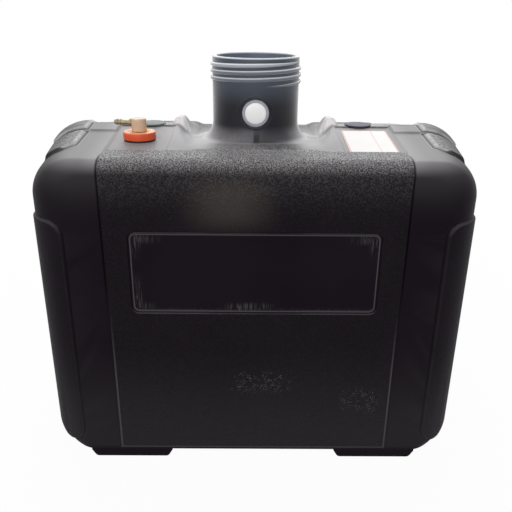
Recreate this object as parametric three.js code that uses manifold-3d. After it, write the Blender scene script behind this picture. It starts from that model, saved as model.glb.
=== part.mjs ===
// Black plastic fuel tank with a wide threaded filler neck, standing on moulded feet.
// Millimetres, +Z up. The origin is on the floor under the filler neck, +X is the right
// side seen from the front, and the seam between the two half shells lies in the plane Y = 0.

import * as THREE from "three";
import { mergeVertices } from "three/addons/utils/BufferGeometryUtils.js";
import Module from "manifold-3d";

const wasm = await Module();
wasm.setup();

// Body of the tank
const seamHalfWidth = 224.3;
const seamTopHeight = 342.8;
const undersideHeight = 9;
const halfDepth = 126;
const sideDraftDegrees = 5.4;
const frontTopDraftDegrees = 5.4;
const rearTopDraftDegrees = 8.6;
const topCornerRadius = 47;
const bottomCornerRadius = 36;
const verticalEdgeRadius = 32;
const shoulderRadius = 13;
const heelRadius = 3;
const leastCornerRadius = 6;
const cornerShrinkShare = 0.6;
const wall = 5;

// Raised and sunk relief of the mouldings
const bandHalfWidth = 144.5;
const bandProud = 1.2;
const bandTopEdge = 83;
const bandLipHeight = 13;
const panelDepth = 2.4;
const panelInnerEdge = 86;
const plateWidth = 238;
const plateHeight = 83;
const plateCentreHeight = 221.5;
const plateCornerRadius = 7;
const plateDepth = 1;
const stripInnerEdge = 183;
const stripBottom = 22;
const stripTop = 275;
const stripCornerRadius = 15;
const stripProud = 2.2;
const stripSideReach = 62;
const padInnerEdge = 173;
const padFrontEdge = 84;
const padRearEdge = 29;
const padCornerCut = 14;
const padProud = 2.6;
const padLowEnd = 314;
const platformHalfDepth = 26;
const platformInnerEdge = 145.5;
const platformProud = 1.5;
const middlePadHalfDepth = 23;
const footOuterEdge = 178;
const footInnerEdge = 89;
const footEndInset = 6;
const footFrontGap = 0.4;
const footLength = 54;

// Channel round the filler neck and the two ridges behind it
const channelFloorHeight = 327.5;
const channelFloorHalfWidth = 66;
const channelHalfWidth = 84;
const channelWallHeight = 334;
const channelWallHalfWidth = 76;
const channelFrontLength = 72;
const channelRearDraftDegrees = 2.5;
const ridgePeakX = 81.5;
const ridgePeakHeight = 351.5;
const ridgeEndPeakX = 87;
const ridgeEndPeakHeight = 340;
const ridgeTopWidth = 5;
const ridgeInnerFootX = 70;
const ridgeOuterFootX = 94;
const ridgeStart = 5;
const ridgeLength = 73;

// Filler neck
const neckRadius = 45.5;
const neckBoreRadius = 41.4;
const neckRimHeight = 415.6;
const neckRimChamfer = 1;
const neckFlareRadius = 22;
const neckFlareTopHeight = 350;
const neckFootRadius = 57;
const neckSeatHeight = 319;
const neckFlangeRadius = 65;
const neckFlangeThickness = 4;
const threadCrestRadius = 47.5;
const threadPitch = 6.8;
const threadTurns = 3.4;
const threadLandWidth = 1.6;
const threadRootWidth = 5.8;
const threadEndBelowRim = 4.4;
const threadRunoutDegrees = 105;
const threadRootDepth = 1;
const threadEndHeight = 0.7;
const threadFadeTurns = 0.25;

// Blanked side port of the neck
const portHeight = 362.4;
const portSeatRadius = 16;
const portSeatY = 43.4;
const portBossRadius = 19;
const portBossDepth = 5.4;
const portHoleRadius = 13.8;
const grommetRadius = 13.5;
const grommetFlangeRadius = 16.6;
const grommetFlangeThickness = 2;
const grommetProud = 1.2;
const portPlugRadius = 11;
const portPlugDome = 1.4;

// Fuel outlet
const outletX = -117;
const outletY = -50;
const outletSeatHeight = 336;
const outletSeatRadius = 18;
const outletBossDepth = 10;
const stemRadius = 9;
const stemAboveSeat = 9;
const stemBoreRadius = 5;
const bulkheadFlangeRadius = 15;
const bulkheadFlangeThickness = 4;
const bulkheadSocketRadius = 10;
const bulkheadSocketLength = 22;
const bulkheadCounterboreRadius = 7.5;
const bulkheadCounterboreDepth = 16;
const gasketThickness = 1.3;
const gasketRadius = 15.8;
const nutRadius = 16.2;
const nutHeight = 7.6;
const nutDishRadius = 11.5;
const nutDishDepth = 0.9;
const oRingRadius = 6.7;
const oRingThickness = 1.9;
const elbowRadius = 7.5;
const elbowHeight = 13.6;
const elbowChamfer = 0.8;
const elbowBoreRadius = 2.4;
const spigotRadius = 4.7;
const retainerRadius = 6.9;
const retainerThickness = 1.4;
const retainerGap = 2.6;
const barbAngleDegrees = 166.5;
const barbDrop = 5.6;
const barbRootRadius = 3.4;
const barbRootDepth = 3;
const barbCollarRadius = 3.9;
const barbCollarLength = 2;
const barbShankRadius = 2.3;
const barbTipRadius = 3.1;
const barbReach = 26;
const barbBoreRadius = 1.5;
const barbCount = 2;
const barbToothLength = 3.6;
const pickupRadius = 4;
const pickupBoreRadius = 2.8;
const pickupCollarRadius = 7.2;
const pickupCollarLength = 11;
const pickupFootHeight = 24;
const strainerRadius = 10;
const strainerHeight = 30;
const strainerBottom = 17;
const strainerCapThickness = 3;
const strainerCoreRadius = 6.4;
const strainerWindowWidth = 5;

// Blanked ports in the rear half, whose heads reach a little over the seam
const blankX = 113;
const blankY = 10;
const blankBossRadius = 12;
const blankBossLength = 12;
const blankSealRadius = 13.4;
const blankSealThickness = 0.8;
const blankHeadRadius = 14.5;
const blankHeadThickness = 2.2;
const blankHeadChamfer = 0.7;
const blankShankRadius = 5.5;
const blankShankLength = 15;

// Blank label on the right panel
const labelWidth = 46;
const labelLength = 68;
const labelX = 115;
const labelBackEdge = 13;
const labelThickness = 0.4;

// Clearances and overruns
const slidingClearance = 0.3;
const overrun = 2;
const farOut = 60;
const weldDistance = 0.0001;

// Facets of round stretches
const wideFacets = 36;
const middleFacets = 28;
const smallFacets = 16;
const cornerSteps = 5;
const edgeSteps = 5;
const ridgeSteps = 5;
const threadStepsPerTurn = wideFacets;

const fullTurn = Math.PI * 2;
const quarterTurn = Math.PI / 2;

const plastic = (colour, roughness) =>
  new THREE.MeshStandardMaterial({ color: colour, roughness, metalness: 0 });
const blackPlastic = plastic(0x1c181e, 0.55);
const neckPlastic = plastic(0x2b2e36, 0.45);
const whitePlastic = plastic(0xf2f2f4, 0.35);
const greyRubber = plastic(0xa9a7b4, 0.6);
const blackRubber = plastic(0x0e0e10, 0.8);
const orangePlastic = plastic(0xd9541f, 0.4);
const naturalPlastic = plastic(0xcfae86, 0.5);
const paperWhite = plastic(0xf6f2ee, 0.6);
const brass = new THREE.MeshStandardMaterial({ color: 0xb99a5a, roughness: 0.35, metalness: 0.9 });
const springSteel = new THREE.MeshStandardMaterial({ color: 0x8d9096, roughness: 0.35, metalness: 1 });

const tangent = (degrees) => Math.tan(THREE.MathUtils.degToRad(degrees));

// Height of the tank's top at a distance from the seam; the side is -1 in front and 1 behind
const topDraft = (side) => (side < 0 ? frontTopDraftDegrees : rearTopDraftDegrees);
const topAt = (distance, side) => seamTopHeight - distance * tangent(topDraft(side));
const frontTopAt = (distance) => topAt(distance, -1);

function toSolid(geometry) {
  const bare = geometry.clone();
  bare.deleteAttribute("normal");
  bare.deleteAttribute("uv");
  const merged = mergeVertices(bare, weldDistance);
  return new wasm.Manifold(new wasm.Mesh({
    numProp: 3,
    vertProperties: new Float32Array(merged.attributes.position.array),
    triVerts: new Uint32Array(merged.index.array),
  }));
}

function toGeometry(solid) {
  const mesh = solid.getMesh();
  const geometry = new THREE.BufferGeometry();
  geometry.setAttribute("position", new THREE.Float32BufferAttribute(mesh.vertProperties, 3));
  geometry.setIndex(new THREE.Uint32BufferAttribute(mesh.triVerts, 1));
  geometry.computeVertexNormals();
  return geometry;
}

const unite = (solids) => solids.reduce((sum, next) => sum.add(next));
const cut = (solid, cutters) => cutters.reduce((rest, cutter) => rest.subtract(cutter), solid);

function shapeOf(points) {
  return new THREE.Shape(points.map(([a, b]) => new THREE.Vector2(a, b)));
}

function roundedRectangle(left, low, right, high, radius) {
  const shape = new THREE.Shape();
  shape.absarc(right - radius, low + radius, radius, -quarterTurn, 0);
  shape.absarc(right - radius, high - radius, radius, 0, quarterTurn);
  shape.absarc(left + radius, high - radius, radius, quarterTurn, Math.PI);
  shape.absarc(left + radius, low + radius, radius, Math.PI, Math.PI + quarterTurn);
  return shape;
}

// Prisms: an outline in (Y, Z) along X, one in (X, Z) along Y, and one in (X, Y) along Z
function prismAlongX(shape, from, to) {
  const geometry = new THREE.ExtrudeGeometry(shape, {
    depth: to - from, bevelEnabled: false, curveSegments: cornerSteps,
  });
  const axes = [new THREE.Vector3(0, 1, 0), new THREE.Vector3(0, 0, 1), new THREE.Vector3(1, 0, 0)];
  geometry.applyMatrix4(new THREE.Matrix4().makeBasis(...axes));
  geometry.translate(from, 0, 0);
  return toSolid(geometry);
}

function prismAlongY(shape, from, to) {
  const geometry = new THREE.ExtrudeGeometry(shape, {
    depth: to - from, bevelEnabled: false, curveSegments: cornerSteps,
  });
  geometry.rotateX(quarterTurn);
  geometry.translate(0, to, 0);
  return toSolid(geometry);
}

function prismAlongZ(shape, from, to) {
  const geometry = new THREE.ExtrudeGeometry(shape, {
    depth: to - from, bevelEnabled: false, curveSegments: cornerSteps,
  });
  geometry.translate(0, 0, from);
  return toSolid(geometry);
}

function block(lowX, highX, lowY, highY, lowZ, highZ) {
  const geometry = new THREE.BoxGeometry(highX - lowX, highY - lowY, highZ - lowZ);
  geometry.translate((lowX + highX) / 2, (lowY + highY) / 2, (lowZ + highZ) / 2);
  return toSolid(geometry);
}

// A turned solid about the Z axis, from [radius, height] points listed upwards on the outside
function turned(profile, facets) {
  const points = profile.map(([radius, height]) => new THREE.Vector2(radius, height));
  const geometry = new THREE.LatheGeometry(points, facets);
  geometry.rotateX(quarterTurn);
  return geometry;
}

const rod = (radius, low, high, facets) =>
  turned([[0, low], [radius, low], [radius, high], [0, high]], facets);

const pipe = (inner, outer, low, high, facets) =>
  turned([[inner, low], [outer, low], [outer, high], [inner, high], [inner, low]], facets);

// A closed solid through rings that all have the same number of points
function loft(rings) {
  const count = rings[0].length;
  const positions = rings.flat().flatMap((point) => [point.x, point.y, point.z]);
  const triangles = [];
  for (let ring = 0; ring + 1 < rings.length; ring += 1) {
    for (let index = 0; index < count; index += 1) {
      const here = ring * count + index;
      const beside = ring * count + ((index + 1) % count);
      triangles.push(here, beside, beside + count, here, beside + count, here + count);
    }
  }
  const last = (rings.length - 1) * count;
  for (let index = 1; index + 1 < count; index += 1) {
    triangles.push(0, index + 1, index, last, last + index, last + index + 1);
  }
  const geometry = new THREE.BufferGeometry();
  geometry.setAttribute("position", new THREE.Float32BufferAttribute(positions, 3));
  geometry.setIndex(triangles);
  return toSolid(geometry);
}

// How far an edge rounding has drawn the surface in, at a distance from the seam
function drawnIn(distance, depth, radius) {
  const into = Math.max(0, distance - (depth - radius));
  return radius - Math.sqrt(Math.max(0, radius * radius - into * into));
}

// Outline of a half shell at a distance from the seam; growth moves it out or in
function sectionAt(distance, side, growth, topDrop) {
  const depth = halfDepth + growth;
  const sideRounding = drawnIn(distance, depth, verticalEdgeRadius + growth);
  const sideInset = distance * tangent(sideDraftDegrees) + sideRounding - growth;
  const halfWidth = seamHalfWidth - sideInset;
  const top = topAt(distance, side) + growth - topDrop
    - drawnIn(distance, depth, shoulderRadius + growth);
  const bottom = undersideHeight - growth
    + drawnIn(distance, depth, Math.max(0, heelRadius + growth));
  const shrink = cornerShrinkShare * sideInset;
  const topRadius = Math.max(leastCornerRadius, topCornerRadius - shrink);
  const bottomRadius = Math.max(leastCornerRadius, bottomCornerRadius - shrink);
  const corners = [
    [halfWidth - topRadius, top - topRadius, topRadius, 0],
    [topRadius - halfWidth, top - topRadius, topRadius, 1],
    [bottomRadius - halfWidth, bottom + bottomRadius, bottomRadius, 2],
    [halfWidth - bottomRadius, bottom + bottomRadius, bottomRadius, 3],
  ];
  const ring = corners.flatMap(([x, z, radius, quarter]) =>
    Array.from({ length: cornerSteps + 1 }, (_, step) => {
      const angle = (quarter + step / cornerSteps) * quarterTurn;
      const y = side * distance;
      return new THREE.Vector3(x + radius * Math.cos(angle), y, z + radius * Math.sin(angle));
    }));
  return side < 0 ? ring.reverse() : ring;
}

// One half of the tank's outer form (or of its inside), from the seam to the front or back face
function halfForm(side, growth, topDrop, start) {
  const depth = halfDepth + growth;
  const radius = verticalEdgeRadius + growth;
  const distances = [start];
  for (let step = 0; step <= edgeSteps; step += 1) {
    distances.push(depth - radius + radius * Math.sin((step / edgeSteps) * quarterTurn));
  }
  return loft(distances.map((distance) => sectionAt(distance, side, growth, topDrop)).reverse());
}

// The outer form of one half grown outwards: raised relief is the part of it inside a region
const reliefBlank = (side, growth) => halfForm(side, growth, 0, 0);

// Outline of the channel at a place along Y, widened by a thickness and lifted with the top
function channelSection(y, lift, thickness) {
  const rim = seamTopHeight + farOut;
  const half = [
    [channelHalfWidth + thickness, rim],
    [channelHalfWidth + thickness, seamTopHeight + lift],
    [channelWallHalfWidth + thickness, channelWallHeight + lift - thickness],
    [channelFloorHalfWidth, channelFloorHeight + lift - thickness],
  ];
  const outline = [...half, ...half.map(([x, z]) => [-x, z]).reverse()];
  return outline.map(([x, z]) => new THREE.Vector3(x, y, z));
}

// In front of the neck the channel runs out to the top surface, behind it it runs level to the back
function channelCutter(side, thickness) {
  const frontLift = frontTopAt(channelFrontLength) - channelFloorHeight;
  const rearEnd = halfDepth + farOut;
  const start = channelSection(-side * overrun, 0, thickness);
  const end = side < 0
    ? channelSection(-channelFrontLength, frontLift, thickness)
    : channelSection(rearEnd, -rearEnd * tangent(channelRearDraftDegrees), thickness);
  return loft(side < 0 ? [end, start] : [start, end]);
}

const mirroredInX = (make) => [make(1), make(-1)];

// Lowest and highest value of a stretch from near to far on the given side of zero
const span = (sign, near, far) => (sign < 0 ? [-far, -near] : [near, far]);
const wideX = seamHalfWidth + farOut;
const highZ = seamTopHeight + farOut;

function bandRelief(side) {
  const [lowY, highY] = span(side, bandTopEdge, halfDepth + farOut);
  const region = block(-bandHalfWidth, bandHalfWidth, lowY, highY, bandLipHeight, highZ);
  return reliefBlank(side, bandProud).intersect(region);
}

function stripRelief(side) {
  const [lowY, highY] = span(side, stripSideReach, halfDepth + farOut);
  const strips = mirroredInX((sign) => {
    const [lowX, highX] = span(sign, stripInnerEdge, wideX);
    const outline = roundedRectangle(lowX, stripBottom, highX, stripTop, stripCornerRadius);
    return prismAlongY(outline, lowY, highY);
  });
  return reliefBlank(side, stripProud).intersect(unite(strips));
}

function padRelief(side) {
  const pads = mirroredInX((sign) => prismAlongZ(shapeOf([
    [sign * padInnerEdge, side * padRearEdge],
    [sign * padInnerEdge, side * (padFrontEdge - padCornerCut)],
    [sign * (padInnerEdge + padCornerCut), side * padFrontEdge],
    [sign * wideX, side * padFrontEdge],
    [sign * wideX, side * padRearEdge],
  ]), padLowEnd, highZ));
  return reliefBlank(side, padProud).intersect(unite(pads));
}

function platformRelief(side) {
  const zone = (halfLength, inner) => unite(mirroredInX((sign) => {
    const [lowX, highX] = span(sign, inner, wideX);
    const [lowY, highY] = span(side, 0, halfLength);
    return block(lowX, highX, lowY, highY, padLowEnd, highZ);
  }));
  const step = reliefBlank(side, platformProud).intersect(zone(platformHalfDepth, platformInnerEdge));
  const pad = reliefBlank(side, platformProud + padProud).intersect(zone(middlePadHalfDepth, padInnerEdge));
  return step.add(pad);
}

function feet(side) {
  const top = undersideHeight + wall / 2;
  const frontEdge = halfDepth - footFrontGap;
  const [lowY, highY] = span(side, frontEdge - footLength, frontEdge);
  return unite(mirroredInX((sign) => prismAlongY(shapeOf([
    [sign * footInnerEdge, top],
    [sign * footInnerEdge, undersideHeight],
    [sign * (footInnerEdge + footEndInset), 0],
    [sign * (footOuterEdge - footEndInset), 0],
    [sign * footOuterEdge, undersideHeight],
    [sign * footOuterEdge, top],
  ]), lowY, highY)));
}

// Solid material of a half shell before its holes: outer form with relief, less the inside
function halfShell(side, ownRelief) {
  const outside = unite([
    halfForm(side, 0, 0, 0), bandRelief(side), stripRelief(side),
    platformRelief(side), feet(side), ...ownRelief,
  ]).subtract(channelCutter(side, 0));
  const neckSeat = toSolid(rod(neckFlangeRadius + slidingClearance, neckSeatHeight, highZ, wideFacets));
  const inside = cut(halfForm(side, -wall, panelDepth, -overrun), [channelCutter(side, wall), neckSeat]);
  const hole = toSolid(rod(neckFootRadius + slidingClearance, neckSeatHeight - overrun, highZ, wideFacets));
  return cut(outside, [inside, hole]);
}

// Sunk panels on the front half's top, left and right of the neck
function topPanels() {
  const floorAt = (distance) => frontTopAt(distance) - panelDepth;
  const outline = shapeOf([
    [0, floorAt(0)],
    [overrun, floorAt(0)],
    [overrun, highZ],
    [-bandTopEdge, highZ],
    [-bandTopEdge, floorAt(bandTopEdge)],
  ]);
  return mirroredInX((sign) => prismAlongX(outline, ...span(sign, panelInnerEdge, bandHalfWidth)));
}

// The blank plugs' heads lie in round spot faces, level with the sunk panels at the seam
const blankSeatHeight = frontTopAt(0) - panelDepth;
const atBlanks = (makeGeometry) => mirroredInX((sign) =>
  toSolid(makeGeometry().translate(sign * blankX, blankY, 0)));
const blankSpotFaces = () => atBlanks(() =>
  rod(blankHeadRadius + slidingClearance, blankSeatHeight, highZ, middleFacets));

function frontHalf() {
  const plate = roundedRectangle(-plateWidth / 2, plateCentreHeight - plateHeight / 2,
    plateWidth / 2, plateCentreHeight + plateHeight / 2, plateCornerRadius);
  const plateFloor = -halfDepth - bandProud + plateDepth;
  const plateCutter = prismAlongY(plate, plateFloor - farOut, plateFloor);
  const outletPlace = [outletX, outletY, 0];
  const outletBoss = toSolid(rod(outletSeatRadius, outletSeatHeight - outletBossDepth,
    outletSeatHeight, middleFacets).translate(...outletPlace));
  const outletCutters = [
    toSolid(rod(outletSeatRadius + slidingClearance, outletSeatHeight, highZ, middleFacets)
      .translate(...outletPlace)),
    toSolid(rod(stemRadius + slidingClearance, outletSeatHeight - outletBossDepth - overrun,
      highZ, smallFacets).translate(...outletPlace)),
  ];
  const sunk = cut(halfShell(-1, [padRelief(-1)]), [...topPanels(), plateCutter]);
  return cut(sunk.add(outletBoss), [...outletCutters, ...blankSpotFaces()]);
}

// The two ridges that rise behind the neck, on the rear half only
function ridgeSection(sign, along) {
  const distance = ridgeStart + along * ridgeLength;
  const peakX = THREE.MathUtils.lerp(ridgePeakX, ridgeEndPeakX, along);
  const peakHeight = THREE.MathUtils.lerp(ridgePeakHeight, ridgeEndPeakHeight, along);
  const floor = channelFloorHeight - distance * tangent(channelRearDraftDegrees) - wall / 2;
  const ring = [
    [ridgeInnerFootX, floor],
    [channelHalfWidth, floor],
    [ridgeOuterFootX, topAt(distance, 1) - wall / 2],
    [peakX + ridgeTopWidth / 2, peakHeight],
    [peakX - ridgeTopWidth / 2, peakHeight],
  ].map(([x, z]) => new THREE.Vector3(sign * x, distance, z));
  return sign < 0 ? ring.reverse() : ring;
}

function neckRidges() {
  return mirroredInX((sign) => loft(Array.from({ length: ridgeSteps + 1 }, (_, step) =>
    ridgeSection(sign, 1 - step / ridgeSteps))));
}

function rearHalf() {
  const bossBottom = blankSeatHeight - blankBossLength;
  const behindSeam = block(-wideX, wideX, 0, halfDepth, bossBottom, highZ);
  const bosses = atBlanks(() => rod(blankBossRadius, bossBottom, blankSeatHeight, middleFacets))
    .map((boss) => boss.intersect(behindSeam));
  const holes = atBlanks(() => rod(blankShankRadius + slidingClearance, bossBottom - overrun,
    highZ, smallFacets));
  return cut(unite([halfShell(1, neckRidges()), ...bosses]), [...blankSpotFaces(), ...holes]);
}

// The thread is a ramped rib swept round the neck, fading into it at both ends
function neckThread() {
  const steps = Math.round(threadTurns * threadStepsPerTurn);
  const lowEnd = neckRimHeight - threadEndBelowRim - threadTurns * threadPitch;
  const rootRadius = neckRadius - threadRootDepth;
  const endCrest = neckRadius + threadEndHeight;
  const rings = Array.from({ length: steps + 1 }, (_, step) => {
    const turns = step / threadStepsPerTurn;
    const angle = turns * fullTurn - THREE.MathUtils.degToRad(threadRunoutDegrees);
    const centre = lowEnd + turns * threadPitch;
    const fade = Math.max(0, Math.min(1, (threadTurns - turns) / threadFadeTurns,
      turns / threadFadeTurns));
    const crest = endCrest + (threadCrestRadius - endCrest) * fade;
    const section = [
      [rootRadius, threadRootWidth / 2],
      [crest, threadLandWidth / 2],
      [crest, -threadLandWidth / 2],
      [rootRadius, -threadRootWidth / 2],
    ];
    return section.map(([radius, height]) => new THREE.Vector3(
      radius * Math.cos(angle), radius * Math.sin(angle), centre + height));
  });
  return loft(rings);
}

function fillerNeck() {
  const flareCentreRadius = neckRadius + neckFlareRadius;
  const flareDrop = Math.sqrt(neckFlareRadius ** 2 - (flareCentreRadius - neckFootRadius) ** 2);
  const flareFoot = neckFlareTopHeight - flareDrop;
  const sweep = Math.asin(flareDrop / neckFlareRadius);
  const flare = Array.from({ length: cornerSteps + 1 }, (_, step) => {
    const angle = (1 - step / cornerSteps) * sweep;
    return [flareCentreRadius - neckFlareRadius * Math.cos(angle),
      neckFlareTopHeight - neckFlareRadius * Math.sin(angle)];
  });
  const flangeBottom = neckSeatHeight - neckFlangeThickness;
  const boreFoot = neckFootRadius - (neckRadius - neckBoreRadius);
  const tube = toSolid(turned([
    [boreFoot, flangeBottom],
    [neckFlangeRadius, flangeBottom],
    [neckFlangeRadius, neckSeatHeight],
    [neckFootRadius, neckSeatHeight],
    [neckFootRadius, flareFoot - slidingClearance],
    ...flare,
    [neckRadius, neckRimHeight - neckRimChamfer],
    [neckRadius - neckRimChamfer, neckRimHeight],
    [neckBoreRadius + neckRimChamfer, neckRimHeight],
    [neckBoreRadius, neckRimHeight - neckRimChamfer],
    [neckBoreRadius, neckFlareTopHeight],
    [boreFoot, flareFoot],
    [boreFoot, flangeBottom],
  ], wideFacets));
  const alongY = (radius, from, to) => toSolid(rod(radius, from, to, middleFacets)
    .rotateX(quarterTurn).translate(0, 0, portHeight));
  const boss = alongY(portBossRadius, portSeatY - portBossDepth, portSeatY);
  const keep = toSolid(rod(neckRadius, flangeBottom, neckRimHeight, wideFacets));
  const seatCut = alongY(portSeatRadius, portSeatY, neckRadius + overrun);
  const hole = alongY(portHoleRadius, 0, neckRadius + overrun);
  return cut(unite([tube, neckThread(), boss.intersect(keep)]), [seatCut, hole]);
}

// Pieces of the side port lie along -Y: their profiles are turned about that axis
const facingFront = (geometry) => geometry.rotateX(quarterTurn).translate(0, 0, portHeight);

function portGrommet() {
  const back = portSeatY - portBossDepth - slidingClearance;
  return facingFront(turned([
    [portPlugRadius + slidingClearance, back - grommetFlangeThickness],
    [grommetFlangeRadius, back - grommetFlangeThickness],
    [grommetFlangeRadius, back],
    [grommetRadius, back],
    [grommetRadius, portSeatY + grommetProud],
    [portPlugRadius + slidingClearance, portSeatY + grommetProud],
    [portPlugRadius + slidingClearance, back - grommetFlangeThickness],
  ], middleFacets));
}

function portPlug() {
  const back = portSeatY - portBossDepth - grommetFlangeThickness;
  const face = portSeatY + grommetProud;
  const domeRadius = (portPlugRadius ** 2 + portPlugDome ** 2) / (2 * portPlugDome);
  const sweep = Math.asin(portPlugRadius / domeRadius);
  const dome = Array.from({ length: cornerSteps + 1 }, (_, step) => {
    const angle = (1 - step / cornerSteps) * sweep;
    return [domeRadius * Math.sin(angle), face + domeRadius * Math.cos(angle)
      - domeRadius + portPlugDome];
  });
  return facingFront(turned([
    [0, back],
    [portPlugRadius - slidingClearance, back],
    [portPlugRadius - slidingClearance, face - slidingClearance],
    ...dome.map(([radius, height]) => [Math.max(0, Math.min(radius, portPlugRadius
      - slidingClearance)), height]),
  ], middleFacets));
}

// Outlet pieces are turned about the outlet's own vertical axis
const bossUnderside = outletSeatHeight - outletBossDepth;
const stemTop = outletSeatHeight + stemAboveSeat;
const socketBottom = bossUnderside - bulkheadFlangeThickness - bulkheadSocketLength;
const counterboreTop = socketBottom + bulkheadCounterboreDepth;
const oRingSeat = stemTop - oRingThickness;
const elbowBottom = stemTop + slidingClearance;
const spigotBottom = counterboreTop - retainerThickness - retainerGap;
const nutBottom = outletSeatHeight + gasketThickness + slidingClearance;

function outletBulkhead() {
  const oRingPocket = oRingRadius + slidingClearance;
  return turned([
    [bulkheadCounterboreRadius, socketBottom],
    [bulkheadSocketRadius, socketBottom],
    [bulkheadSocketRadius, bossUnderside - bulkheadFlangeThickness],
    [bulkheadFlangeRadius, bossUnderside - bulkheadFlangeThickness],
    [bulkheadFlangeRadius, bossUnderside],
    [stemRadius, bossUnderside],
    [stemRadius, stemTop],
    [oRingPocket, stemTop],
    [oRingPocket, oRingSeat - slidingClearance],
    [stemBoreRadius, oRingSeat - slidingClearance],
    [stemBoreRadius, counterboreTop],
    [bulkheadCounterboreRadius, counterboreTop],
    [bulkheadCounterboreRadius, socketBottom],
  ], smallFacets);
}

const outletGasket = () => pipe(stemRadius + slidingClearance, gasketRadius, outletSeatHeight,
  outletSeatHeight + gasketThickness, middleFacets);

function outletNut() {
  const bore = stemRadius + slidingClearance;
  const top = nutBottom + nutHeight;
  return turned([
    [bore, nutBottom],
    [nutRadius, nutBottom],
    [nutRadius, top],
    [nutDishRadius, top],
    [nutDishRadius, top - nutDishDepth],
    [bore, top - nutDishDepth],
    [bore, nutBottom],
  ], middleFacets);
}

const elbowORing = () => pipe(spigotRadius + slidingClearance, oRingRadius, oRingSeat,
  stemTop, smallFacets);

const barbHeight = elbowBottom + elbowHeight - barbDrop;

function alongBarb(geometry) {
  return geometry.rotateY(quarterTurn)
    .rotateZ(THREE.MathUtils.degToRad(barbAngleDegrees)).translate(0, 0, barbHeight);
}

function elbowBody() {
  const top = elbowBottom + elbowHeight;
  const groove = spigotBottom + retainerGap / 2;
  const grooveRadius = (spigotRadius + elbowBoreRadius) / 2;
  const body = toSolid(turned([
    [0, spigotBottom],
    [spigotRadius, spigotBottom],
    [spigotRadius, groove],
    [grooveRadius, groove],
    [grooveRadius, groove + retainerThickness + slidingClearance],
    [spigotRadius, groove + retainerThickness + slidingClearance],
    [spigotRadius, elbowBottom],
    [elbowRadius, elbowBottom],
    [elbowRadius, top - elbowChamfer],
    [elbowRadius - elbowChamfer, top],
    [0, top],
  ], smallFacets));
  const bore = toSolid(rod(elbowBoreRadius, spigotBottom - overrun,
    barbHeight + elbowBoreRadius, smallFacets));
  const socketStart = elbowRadius - barbRootDepth;
  const socket = toSolid(alongBarb(rod(barbRootRadius + slidingClearance, socketStart,
    elbowRadius + overrun, smallFacets)));
  const passage = toSolid(alongBarb(rod(barbBoreRadius, 0, elbowRadius, smallFacets)));
  return cut(body, [bore, socket, passage]);
}

function hoseBarb() {
  const collarStart = elbowRadius + slidingClearance;
  const shankStart = collarStart + barbCollarLength;
  const toothStarts = Array.from({ length: barbCount }, (_, index) =>
    barbReach - (barbCount - index) * barbToothLength);
  const teeth = toothStarts.flatMap((start) => [
    [barbShankRadius, start],
    [barbTipRadius, start],
    [barbShankRadius, start + barbToothLength],
  ]);
  const profile = [
    [barbBoreRadius, elbowRadius - barbRootDepth + slidingClearance],
    [barbRootRadius, elbowRadius - barbRootDepth + slidingClearance],
    [barbRootRadius, collarStart],
    [barbCollarRadius, collarStart],
    [barbCollarRadius, shankStart],
    [barbShankRadius, shankStart],
    ...teeth,
    [barbBoreRadius, barbReach],
    [barbBoreRadius, elbowRadius - barbRootDepth + slidingClearance],
  ];
  return alongBarb(turned(profile, smallFacets));
}

// A split ring that keeps the elbow's spigot from lifting out of the bulkhead
function elbowRetainer() {
  const grooveRadius = (spigotRadius + elbowBoreRadius) / 2;
  const low = spigotBottom + retainerGap / 2 + slidingClearance / 2;
  const ring = toSolid(pipe(grooveRadius + slidingClearance, retainerRadius, low,
    low + retainerThickness, smallFacets));
  const mouth = grooveRadius * Math.SQRT1_2;
  return ring.subtract(block(0, retainerRadius + overrun, -mouth, mouth,
    low - overrun, low + retainerThickness + overrun));
}

const pickupTop = spigotBottom - slidingClearance - retainerThickness;

function pickupTube() {
  const collarTop = pickupTop;
  const collarBottom = collarTop - pickupCollarLength;
  return turned([
    [pickupBoreRadius, pickupFootHeight],
    [pickupRadius, pickupFootHeight],
    [pickupRadius, collarBottom],
    [pickupCollarRadius, collarBottom],
    [pickupCollarRadius, collarTop],
    [pickupBoreRadius, collarTop],
    [pickupBoreRadius, pickupFootHeight],
  ], smallFacets);
}

// The strainer's cage: two caps joined by four posts, with the tube's end held in the top cap
function strainerCage() {
  const top = strainerBottom + strainerHeight;
  const bottomCap = toSolid(rod(strainerRadius, strainerBottom,
    strainerBottom + strainerCapThickness, smallFacets));
  const topCap = toSolid(pipe(pickupRadius + slidingClearance, strainerRadius,
    top - strainerCapThickness, top, smallFacets));
  const core = toSolid(pipe(pickupRadius + slidingClearance, strainerCoreRadius,
    strainerBottom + strainerCapThickness / 2, top - strainerCapThickness / 2, smallFacets));
  const windowLow = strainerBottom + strainerCapThickness;
  const windowHigh = top - strainerCapThickness;
  const reach = strainerRadius + overrun;
  const halfWindow = strainerWindowWidth / 2;
  const windows = [
    block(-reach, reach, -halfWindow, halfWindow, windowLow, windowHigh),
    block(-halfWindow, halfWindow, -reach, reach, windowLow, windowHigh),
  ];
  return unite([cut(core, windows), bottomCap, topCap]);
}

const strainerMesh = () => pipe(strainerCoreRadius + slidingClearance, strainerRadius,
  strainerBottom + strainerCapThickness + slidingClearance,
  strainerBottom + strainerHeight - strainerCapThickness - slidingClearance, smallFacets);

// Blank plugs of the two unused ports
const blankSealTop = blankSeatHeight + blankSealThickness;

const blankSeal = () => pipe(blankShankRadius + slidingClearance, blankSealRadius,
  blankSeatHeight, blankSealTop, middleFacets);

function blankPlug() {
  const low = blankSealTop + slidingClearance;
  const top = low + blankHeadThickness;
  return turned([
    [0, low - blankShankLength],
    [blankShankRadius, low - blankShankLength],
    [blankShankRadius, low],
    [blankHeadRadius, low],
    [blankHeadRadius, top - blankHeadChamfer],
    [blankHeadRadius - blankHeadChamfer, top],
    [0, top],
  ], middleFacets);
}

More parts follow.
